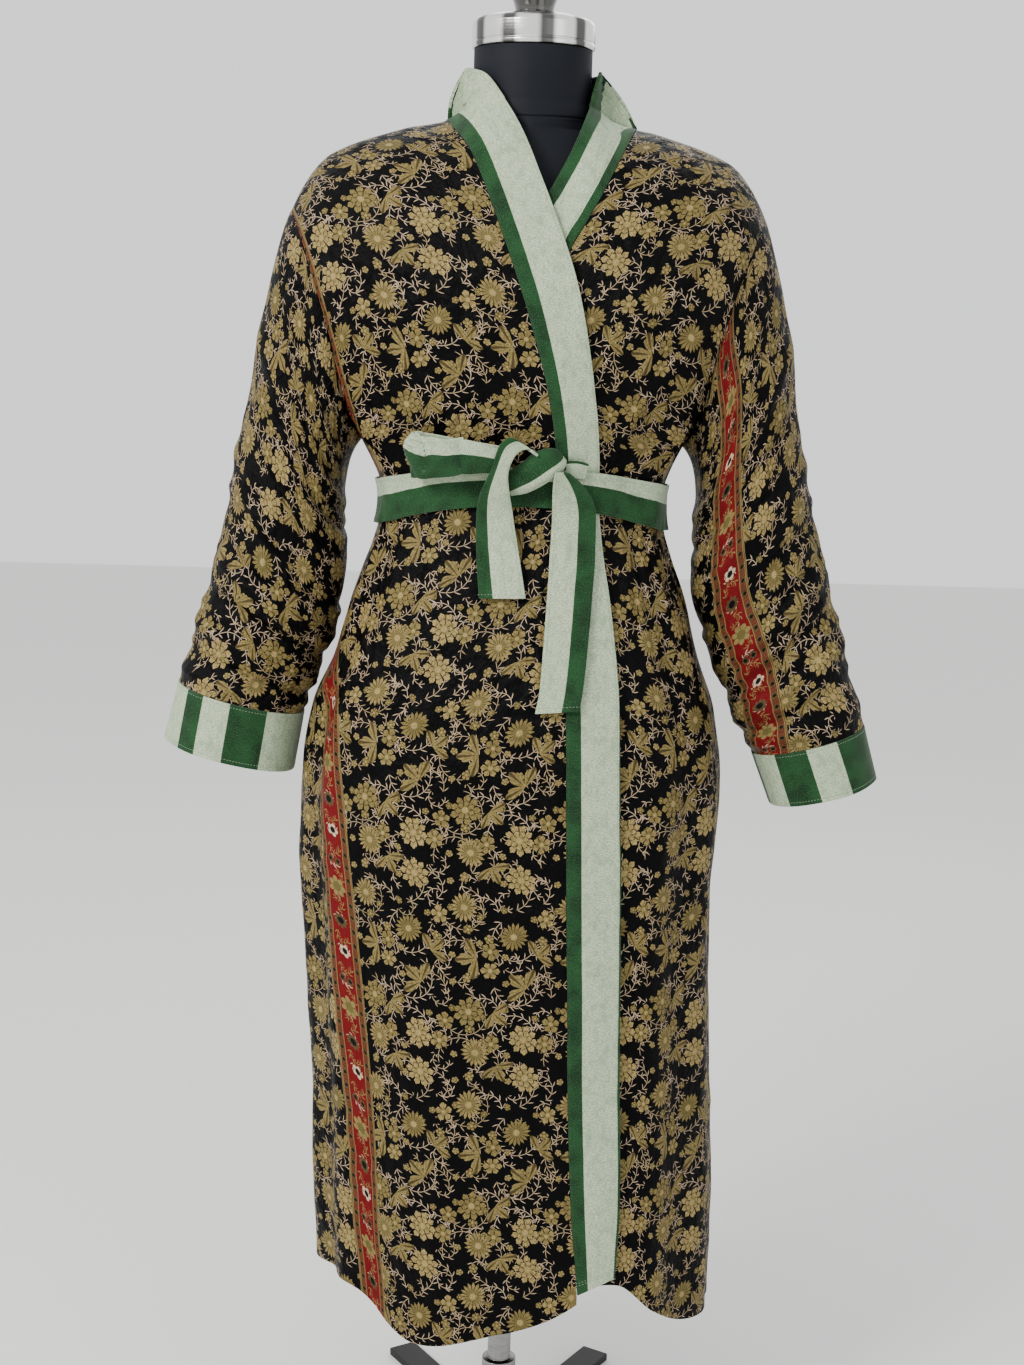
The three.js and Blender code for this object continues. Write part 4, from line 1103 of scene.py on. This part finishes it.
# Smaller sleeve creases: the run and turn of the middle, their half lengths, the slant, and push out
sleeve_creases = table(
    "run turn wide long slant push",
    [0.20, 246, 0.013, 34, 0.35, 2.6], [0.26, 262, 0.012, 30, 0.30, -2.2],
    [0.34, 240, 0.013, 36, 0.25, 2.4], [0.40, 276, 0.012, 34, -0.20, 2.0],
    [0.50, 252, 0.012, 38, 0.18, -2.2], [0.55, 226, 0.011, 30, 0.10, 2.2],
    [0.62, 300, 0.011, 34, -0.15, 2.4], [0.70, 262, 0.010, 44, 0.08, 2.6],
    [0.73, 308, 0.009, 36, -0.06, -2.6], [0.775, 236, 0.009, 40, 0.10, -2.4],
    [0.80, 284, 0.009, 46, 0.03, 2.8], [0.84, 250, 0.008, 38, -0.05, 2.6],
    [0.865, 300, 0.008, 40, 0.06, -2.8], [0.905, 262, 0.008, 44, 0.04, 2.8],
    [0.935, 310, 0.008, 36, -0.04, 2.4], [0.955, 240, 0.007, 42, 0.03, 2.2],
    [0.24, 110, 0.013, 34, 0.30, 2.4], [0.36, 92, 0.013, 36, -0.25, -2.2],
    [0.48, 74, 0.012, 36, 0.20, 2.4], [0.60, 112, 0.011, 38, -0.12, 2.4],
    [0.70, 84, 0.010, 42, 0.08, -2.6], [0.78, 104, 0.009, 44, -0.05, 2.8],
    [0.83, 66, 0.009, 38, 0.06, 2.4], [0.88, 96, 0.008, 44, 0.03, -2.8],
    [0.93, 78, 0.008, 40, -0.04, 2.6], [0.64, 20, 0.012, 34, 0.10, 2.2],
    [0.76, 350, 0.010, 36, 0.05, -2.4],
    [0.85, 12, 0.009, 38, 0.04, 2.4], [0.92, 340, 0.008, 34, -0.03, 2.2], [0.68, 168, 0.010, 34, 0.08, 2.2],
    [0.81, 190, 0.009, 36, 0.05, -2.2], [0.90, 172, 0.008, 34, 0.03, 2.2])
sleeve_gap = 0.5


def armhole_seam(turn, side, front):
    """The armhole at each turn of a sleeve: its point, the body's normal, and the way off the body."""
    row = skirt_share + (1 - skirt_share) * np.abs(turn - 180) / 180
    small = 1e-3
    found = []
    for surface, on_front in ((front, True), (robe_back, False)):
        edge = 0 if (side < 0) == on_front else 1
        inwards = small if edge == 0 else -small
        point = surface(np.full_like(turn, edge), row)
        across = (surface(np.full_like(turn, edge + inwards), row) - point) * np.sign(inwards)
        along = point - surface(np.full_like(turn, edge), row - small)
        normal = unit(np.cross(across, along))
        off = unit(np.cross(along, normal)) * (-1 if edge == 0 else 1)
        found.append((point, normal, off))
    on_front = (turn > 180)[..., None]
    point, normal, off = (np.where(on_front, a, b) for a, b in zip(*found))
    off = np.where((np.abs(turn - 180) < 1)[..., None], np.array([0.0, 0.0, -1.0]), off)
    return point, normal, off


def sleeve_grid(rows, side, front, around, along):
    """The outer surface of a sleeve from armhole to cuff seam, and its outward directions."""
    turn_line = np.linspace(0, 360, around + 1)
    v = np.linspace(0, 1, along + 1)
    run_line = np.where(v < 0.5, v * 1.2, 0.6 + (v - 0.5) * 0.8)
    turn, run = np.meshgrid(turn_line, run_line)
    c, s = np.cos(np.radians(turn)), np.sin(np.radians(turn))
    wrinkle = np.zeros_like(run)
    for middle, wide, push, facing in rows_of(sleeve_wrinkles):
        towards = 0.5 + 0.5 * np.cos(np.radians(turn - facing))
        wrinkle += push * np.exp(-((run - middle) / wide) ** 2) * towards
    for middle, facing, wide, long, slant, push in rows_of(sleeve_creases):
        away = (turn - facing + 180) % 360 - 180
        across = (run - middle - slant * away / 360) / wide
        wrinkle += push * np.exp(-across * across - (away / long) ** 4)
    wrinkle += 0.5 * np.sin(run * 61 + 2 * s) * np.sin(np.radians(turn * 3) + run * 23) * ease(0.1, 0.4, run)
    inner_x, outer_x = read(rows, "run", "innerX", run), read(rows, "run", "outerX", run)
    inner_z, outer_z = read(rows, "run", "innerZ", run), read(rows, "run", "outerZ", run)
    x = side * (inner_x + (outer_x - inner_x) * (1 + c) / 2 + wrinkle * c)
    z = inner_z + (outer_z - inner_z) * (1 + c) / 2
    squareness = 0.5 + 0.5 * ease(0, 0.45, run)
    y = (read(rows, "run", "depth", run) + wrinkle) * np.sign(s) * np.abs(s) ** squareness
    ring = np.stack([x, y, z], -1)
    point, seam_normal, off = armhole_seam(turn_line, side, front)
    joined = (np.maximum(0, 1 - run / 0.3) ** 1.5)[..., None]
    grid = ring * (1 - joined) + (point + off * sleeve_gap)[None] * joined
    grid[:, -1] = grid[:, 0]
    normal = normals_of(grid, True, side > 0)
    shared = ease(0.1, 0.5, np.abs(turn_line - 180) / 180)[None] * (1 - ease(0, 0.09, run))
    return grid, unit(normal * (1 - shared[..., None]) + seam_normal[None] * shared[..., None])


sleeve_border_edge = table(
    "z x",
    [828, 287], [907, 267], [945, 253], [986, 236], [1047, 227], [1114, 221], [1198, 218], [1247, 206])


def left_border_edge(z):
    return np.interp(z, sleeve_border_edge["z"], sleeve_border_edge["x"])


def calm(values, reach):
    """Values averaged with those of the rows before and after them."""
    held = np.pad(values, ((reach, reach), (0, 0)), "edge")
    return sum(held[k:k + len(values)] for k in range(2 * reach + 1)) / (2 * reach + 1)


def sleeve_maps(grid, quads, bordered):
    """The straight-grain cloth of a sleeve: its print isn't drawn aside by the gathers."""
    around = grid.shape[1] - 1
    places = flat_lengths(grid, around // 2, 0)
    places[..., 0] = calm(places[..., 0], 14)
    places[..., 1] = places[..., 1].mean(1, keepdims=True)
    maps = {"flat": on_loops(places * (1, -1), quads)}
    if bordered:
        edge = border_places(grid, left_border_edge, around // 2, around + 1, 1.3)
        edge[..., 0] = calm(edge[..., 0], 6)
        edge[..., 1] = places[..., 1]
        maps["border"] = on_loops(edge, quads)
    return maps


sleeve_around = 120
sleeve_along = 190
for side, side_name, rows, front, finish in (
        (-1, "right", arm_right, front_right, plain_satin), (1, "left", arm_left, front_left, border_satin)):
    grid, normal = sleeve_grid(rows, side, front, sleeve_around, sleeve_along)
    points, faces, quads = cloth_wall(grid, cloth_thick, True, side > 0, normal=normal)
    sleeve_cloth = make_piece(
        "robe_sleeve_" + side_name + "_satin", points, faces, finish, "robe_sleeve_" + side_name, "satin",
        sleeve_maps(grid, quads, side > 0), 60)

# A cuff of the striped velvet is sewn to the end of each sleeve, with the stripes running down the arm.
# It is folded double and topstitched, and the extra width is laid in one pleat at the seam.
cuff_sizes = {-1: (15, -62, 10, -63), 1: (16, -58, 21, -55)}
cuff_green = {
    -1: [(-176, -150, 0), (-105, -70, 0), (-38, -4, 0), (66, 106, 0), (137, 160, 0)],
    1: [(-160, -128, 0), (-92, -58, 0), (-22, 12, 0), (48, 84, 0), (118, 180, 0)]}
cuff_around = 160


def cuff_grid(rows, side):
    drop_outer_x, drop_outer_z, drop_inner_x, drop_inner_z = cuff_sizes[side]
    last = {name: column[-1] for name, column in rows.items()}
    turn, down = np.meshgrid(np.linspace(0, 360, cuff_around + 1), np.linspace(0, 1, 31))
    share = 0.01 + 0.99 * down
    c, s = np.cos(np.radians(turn)), np.sin(np.radians(turn))
    outer_x, inner_x = last["outerX"] + 1 + drop_outer_x * share, last["innerX"] - 1 + drop_inner_x * share
    outer_z, inner_z = last["outerZ"] + drop_outer_z * share, last["innerZ"] + drop_inner_z * share
    ripple = 0.8 * np.sin(np.radians(turn * 5) + 1.2 * down) * np.sin(np.pi * down * 0.5)
    x = side * (inner_x + (outer_x - inner_x) * (1 + c) / 2 + ripple * c)
    y = (last["depth"] + 1 + ripple) * s
    z = inner_z + (outer_z - inner_z) * (1 + c) / 2
    grid = np.stack([x, y, z], -1)
    grid[:, -1] = grid[:, 0]
    return grid


cuff_grids = {}
for side, side_name, rows in ((-1, "right", arm_right), (1, "left", arm_left)):
    grid = cuff_grid(rows, side)
    cuff_grids[side] = grid
    cuff_cloth = velvet_piece(
        "robe_cuff_" + side_name + "_velvet", grid, velvet("velvet_cuff_" + side_name, cuff_green[side]),
        "robe_cuff_" + side_name, closed=True, flip=side > 0, anchor=cuff_around // 2)


# The sash is a strip of the same velvet, folded lengthwise and topstitched, passed once round the waist.
# It is tied in front in a bow with one loop and two tails, over a knot, and a short end on the right.
sash_out = 5.2
sash_wide = 46
sash_thick = 2.6
sash_height = 1066
sash_rise = 25


def facing_front(turn):
    return np.maximum(0, -np.sin(np.radians(turn))) ** 2


u, v = np.meshgrid(np.linspace(0, 1, 361), edge_weighted(14))
turn = -180 + 360 * u
half = 24 - 4 * facing_front(turn)
wrap_z = sash_height + sash_rise * facing_front(turn) + half * (2 * v - 1)
wrap_grid = on_body(turn, wrap_z, sash_out)
wrap_grid[:, -1] = wrap_grid[:, 0]
wrap_velvet = velvet("velvet_sash_wrap", [(-2, 27, 0)])
points, faces, quads = cloth_wall(wrap_grid, sash_thick, True)
wrap_places = flat_lengths(wrap_grid)[..., ::-1]
sash_wrap_cloth = make_piece(
    "sash_wrap_velvet", points, faces, wrap_velvet, "sash_wrap", "velvet",
    {"flat": on_loops(wrap_places, quads)}, 50)


def strap_grid(rows, across, along):
    """The outer surface of a strip of the sash whose middle follows the rows of a table."""
    marked = numbered(rows)
    u, v = np.meshgrid(edge_weighted(across), np.linspace(0, 1, along + 1))
    off = (u - 0.5) * read(marked, "i", "wide", v)
    lean = np.radians(read(marked, "i", "lean", v))
    crown = 0.8 * np.sin(np.pi * u) * np.sin(np.pi * np.clip(v * 1.2, 0, 1))
    return on_chest(
        read(marked, "i", "x", v) + off * np.cos(lean), read(marked, "i", "z", v) + off * np.sin(lean),
        read(marked, "i", "out", v) + crown)


short_tail = table(
    "x z out wide lean",
    [-17, 980, 9, 47, 2], [-22, 1020, 10, 42, 2], [-25, 1055, 17, 36, 0], [-25, 1090, 27, 27, 0],
    [-21, 1118, 28.4, 17, -4], [-14, 1137, 26, 20, -20], [-3, 1143, 24, 24, -30], [6, 1138, 22, 24, -38])
long_tail = table(
    "x z out wide lean",
    [40, 871, 8, 43, 3], [44, 900, 8, 43, 2], [49, 980, 8, 44, 0], [51, 1050, 10, 43, 0],
    [48, 1080, 16, 38, 0], [43, 1099, 19.4, 28, 0], [37, 1113, 22.4, 14, 0])
stub_rows = table(
    "x z out wide lean",
    [42.2, 1112, 8, 17, 90], [52, 1112, 8.6, 19, 84], [62, 1110, 8, 17, 78])
short_grid = strap_grid(short_tail, 16, 110)
long_grid = strap_grid(long_tail, 16, 150)
stub_grid = strap_grid(stub_rows, 12, 24)


def strap_piece(node, grid, stripes, flip=False):
    finish = velvet("velvet_" + node, stripes)
    return velvet_piece(node + "_velvet", grid, finish, node, sash_wide, sash_thick, flip=flip)


short_tail_cloth = strap_piece("sash_tail_short", short_grid, [(-2, 14, 0)])
long_tail_cloth = strap_piece("sash_tail_long", long_grid, [(27, 60, 0)])
stub_cloth = strap_piece("sash_stub", stub_grid, [(40, 60, 0)], True)

loop_rows = numbered(table(
    "x z out wide",
    [-15, 1122, 8.4, 22], [-50, 1124, 9.5, 30], [-88, 1125, 10, 40], [-101, 1125, 12.5, 44],
    [-103, 1125, 16, 45], [-98, 1126, 21, 44], [-60, 1128, 24, 38], [-34, 1126, 21.5, 28],
    [-15, 1122, 20, 22]))
v, u = np.meshgrid(edge_weighted(14), np.linspace(0, 1, 181))
loop_grid = on_chest(
    read(loop_rows, "i", "x", u), read(loop_rows, "i", "z", u) + (v - 0.5) * read(loop_rows, "i", "wide", u),
    read(loop_rows, "i", "out", u) + 0.5 * np.sin(np.pi * v))
loop_cloth = strap_piece("sash_loop", loop_grid, [(-2, 27, 0)])

knot_rows = numbered(table(
    "x z wide out",
    [-15, 1090, 16, 13], [-5, 1099, 28, 20], [8, 1108, 30, 22], [22, 1119, 30, 21], [33, 1125, 24, 16],
    [38, 1127, 14, 10]))
knot_lean = math.radians(128)
knot_back = 6.2
knot_sides, knot_rings = 72, 60
knot_step = 0.0012
around, along = np.meshgrid(np.linspace(0, 360, knot_sides + 1), np.linspace(0, 1, knot_rings + 1))
off = read(knot_rows, "i", "wide", along) / 2 * power(np.cos(np.radians(around)))
gather = 0.45 * np.cos(np.radians(around * 6)) * np.sin(np.pi * along)
out = knot_back + (read(knot_rows, "i", "out", along) + gather - knot_back) * (
    0.5 + 0.5 * power(np.sin(np.radians(around))))
knot_grid = on_chest(
    read(knot_rows, "i", "x", along) + off * math.cos(knot_lean),
    read(knot_rows, "i", "z", along) + off * math.sin(knot_lean), out)
knot_points = knot_grid[:, :knot_sides].reshape(-1, 3)
knot_faces = ring_faces(knot_rings + 1, knot_sides)
knot_faces.append(tuple(reversed(range(knot_sides))))
knot_faces.append(tuple(range(knot_rings * knot_sides, (knot_rings + 1) * knot_sides)))
knot_places = []
for face in knot_faces:
    for corner in face:
        row, i = divmod(corner, knot_sides)
        knot_places.append((sash_wide * 0.001 * abs(2 * i / knot_sides - 1), knot_step * row))
knot_velvet = velvet("velvet_sash_knot", [(20, 60, 0)])
make_piece(
    "sash_knot_velvet", knot_points, knot_faces, knot_velvet, "sash_knot", "velvet",
    {"flat": knot_places}, 60)


# Cotton thread holds the velvet down: a running line of stitches near each edge of the bands, the cuffs
# and the sash, and a line or two over each hem. Each stitch is a short grain of thread in the pile.
stitch_step = 3.2
stitch_share = 0.72
thread_thick = 0.3


def stitch_nodes():
    tree = bpy.data.node_groups.new("stitches", "GeometryNodeTree")
    sockets = tree.interface
    sockets.new_socket("Lines", in_out="INPUT", socket_type="NodeSocketGeometry")
    for label in ("Step", "Length", "Thickness"):
        sockets.new_socket(label, in_out="INPUT", socket_type="NodeSocketFloat")
    sockets.new_socket("Thread", in_out="INPUT", socket_type="NodeSocketMaterial")
    sockets.new_socket("Stitches", in_out="OUTPUT", socket_type="NodeSocketGeometry")
    node = tree.nodes.new
    link = tree.links.new
    given = node("NodeGroupInput")
    curve = node("GeometryNodeMeshToCurve")
    spaced = node("GeometryNodeResampleCurve")
    spaced.mode = "LENGTH"
    grain = node("GeometryNodeMeshIcoSphere")
    half = node("ShaderNodeMath")
    half.operation = "MULTIPLY"
    half.inputs[1].default_value = 0.5
    size = node("ShaderNodeCombineXYZ")
    drawn = node("GeometryNodeTransform")
    tangent = node("GeometryNodeInputTangent")
    turned_along = node("FunctionNodeAlignRotationToVector")
    placed = node("GeometryNodeInstanceOnPoints")
    real = node("GeometryNodeRealizeInstances")
    dressed = node("GeometryNodeSetMaterial")
    result = node("NodeGroupOutput")
    link(given.outputs["Lines"], curve.inputs["Mesh"])
    link(curve.outputs["Curve"], spaced.inputs["Curve"])
    link(given.outputs["Step"], spaced.inputs["Length"])
    link(given.outputs["Length"], half.inputs[0])
    link(given.outputs["Thickness"], size.inputs["X"])
    link(given.outputs["Thickness"], size.inputs["Y"])
    link(half.outputs[0], size.inputs["Z"])
    link(grain.outputs["Mesh"], drawn.inputs["Geometry"])
    link(size.outputs["Vector"], drawn.inputs["Scale"])
    link(tangent.outputs["Tangent"], turned_along.inputs["Vector"])
    link(spaced.outputs["Curve"], placed.inputs["Points"])
    link(drawn.outputs["Geometry"], placed.inputs["Instance"])
    link(turned_along.outputs["Rotation"], placed.inputs["Rotation"])
    link(placed.outputs["Instances"], real.inputs["Geometry"])
    link(real.outputs["Geometry"], dressed.inputs["Geometry"])
    link(given.outputs["Thread"], dressed.inputs["Material"])
    link(dressed.outputs["Geometry"], result.inputs["Stitches"])
    return tree


stitch_tree = stitch_nodes()


def line_on(grid, share, flip=False):
    """A line along the rows of a grid, at a share of its width."""
    across = np.linalg.norm(np.diff(grid, axis=1), axis=-1).mean(0)
    run = np.concatenate([[0], np.cumsum(across)]) / across.sum()
    column = np.interp(share, run, np.arange(len(run)))
    i = min(int(column), len(run) - 2)
    raised = grid + normals_of(grid, False, flip) * 0.05
    return raised[:, i] * (i + 1 - column) + raised[:, i + 1] * (column - i)


def sewn(name, lines, thread):
    """Stitches along lines of points in millimetres, made into one mesh."""
    points, edges = [], []
    for line in lines:
        first = len(points)
        points += (line * 0.001).tolist()
        edges += [(first + i, first + i + 1) for i in range(len(line) - 1)]
    mesh = bpy.data.meshes.new(name + "_lines")
    mesh.from_pydata(points, edges, [])
    guide = bpy.data.objects.new(name + "_lines", mesh)
    scene.collection.objects.link(guide)
    rows = guide.modifiers.new("stitches", "NODES")
    rows.node_group = stitch_tree
    inputs = {item.name: item.identifier for item in stitch_tree.interface.items_tree}
    rows[inputs["Step"]] = stitch_step * 0.001
    rows[inputs["Length"]] = stitch_step * stitch_share * 0.001
    rows[inputs["Thickness"]] = thread_thick * 0.001
    rows[inputs["Thread"]] = thread.material
    ready = guide.evaluated_get(bpy.context.evaluated_depsgraph_get())
    stitches = bpy.data.meshes.new_from_object(ready)
    bpy.data.objects.remove(guide)
    stitches.shade_smooth()
    piece = bpy.data.objects.new(name, stitches)
    scene.collection.objects.link(piece)
    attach(piece, "root")


def thread_finish(name, dark, light):
    finish = Finish(name, {"Sheen Weight": 0.1, "Specular IOR Level": 0.3})
    ply = finish.noise(finish.where(), 1800.0, 2.0)
    finish.feed(Base_Color=finish.blend(ply, dark, light), Roughness=0.5 + ply * 0.3)
    finish.relief(ply, 0.00008)
    return finish


def crossed(grid):
    return grid.transpose(1, 0, 2)


pale_thread = thread_finish("pale_thread", (0.15, 0.20, 0.14, 1), (0.28, 0.34, 0.25, 1))
green_thread = thread_finish("green_thread", (0.006, 0.028, 0.009, 1), (0.02, 0.075, 0.026, 1))
pale_lines = [
    line_on(top_grid, 0.94), line_on(under_grid, 0.75), line_on(under_grid, 0.78),
    line_on(neck_grid, 0.94, True), line_on(crossed(wrap_grid), 0.93, True),
    line_on(crossed(top_grid), 0.007, True), line_on(crossed(top_grid), 0.009, True),
    line_on(crossed(under_grid), 0.007, True), line_on(short_grid, 0.93), line_on(long_grid, 0.07),
    line_on(loop_grid, 0.93), line_on(crossed(short_grid), 0.02, True),
    line_on(crossed(long_grid), 0.02, True)]
for side, grid in cuff_grids.items():
    pale_lines += [line_on(crossed(grid), share, side < 0) for share in (0.05, 0.93)]
green_lines = [
    line_on(top_grid, 0.05), line_on(under_grid, 0.06), line_on(under_grid, 0.95),
    line_on(crossed(wrap_grid), 0.07, True), line_on(short_grid, 0.07), line_on(long_grid, 0.93),
    line_on(loop_grid, 0.07)]
sewn("pale_stitches", pale_lines, pale_thread)
sewn("green_stitches", green_lines, green_thread)


# The room is a plain pale floor under soft studio light, which comes mostly from the front.
world = bpy.data.worlds.new("studio")
world.use_nodes = True
air = world.node_tree.nodes["Background"]
air.inputs["Color"].default_value = (0.80, 0.805, 0.81, 1)
air.inputs["Strength"].default_value = 1.55
scene.world = world

floor_mesh = bpy.data.meshes.new("floor")
floor_mesh.from_pydata([(-8, -8, 0), (8, -8, 0), (8, 8, 0), (-8, 8, 0)], [], [(0, 1, 2, 3)])
floor = bpy.data.objects.new("floor", floor_mesh)
scene.collection.objects.link(floor)
floor_finish = Finish("pale_floor", {"Roughness": 0.7})
mottle = floor_finish.noise(floor_finish.where(), 1.3, 3.0)
floor_finish.feed(Base_Color=floor_finish.blend(mottle, (0.74, 0.74, 0.72, 1), (0.77, 0.77, 0.75, 1)))
floor_mesh.materials.append(floor_finish.material)


def soft_light(name, place, aim, size, power, colour):
    lamp = bpy.data.lights.new(name, "AREA")
    lamp.shape = "RECTANGLE"
    lamp.size, lamp.size_y = size
    lamp.energy = power
    lamp.color = colour
    holder = bpy.data.objects.new(name, lamp)
    away = Vector(place) - Vector(aim)
    holder.matrix_world = Matrix.Translation(place) @ away.to_track_quat("Z", "Y").to_matrix().to_4x4()
    scene.collection.objects.link(holder)


soft_light("key_light", (-2.1, -2.2, 2.7), (0, 0, 1.0), (1.2, 1.2), 130, (1.0, 0.98, 0.95))
soft_light("fill_light", (1.9, -2.3, 1.7), (0, 0, 0.9), (1.8, 2.2), 12, (0.95, 0.98, 1.0))
soft_light("back_light", (0.6, 2.4, 2.6), (0, 0, 1.0), (2.0, 1.6), 20, (1.0, 1.0, 1.0))
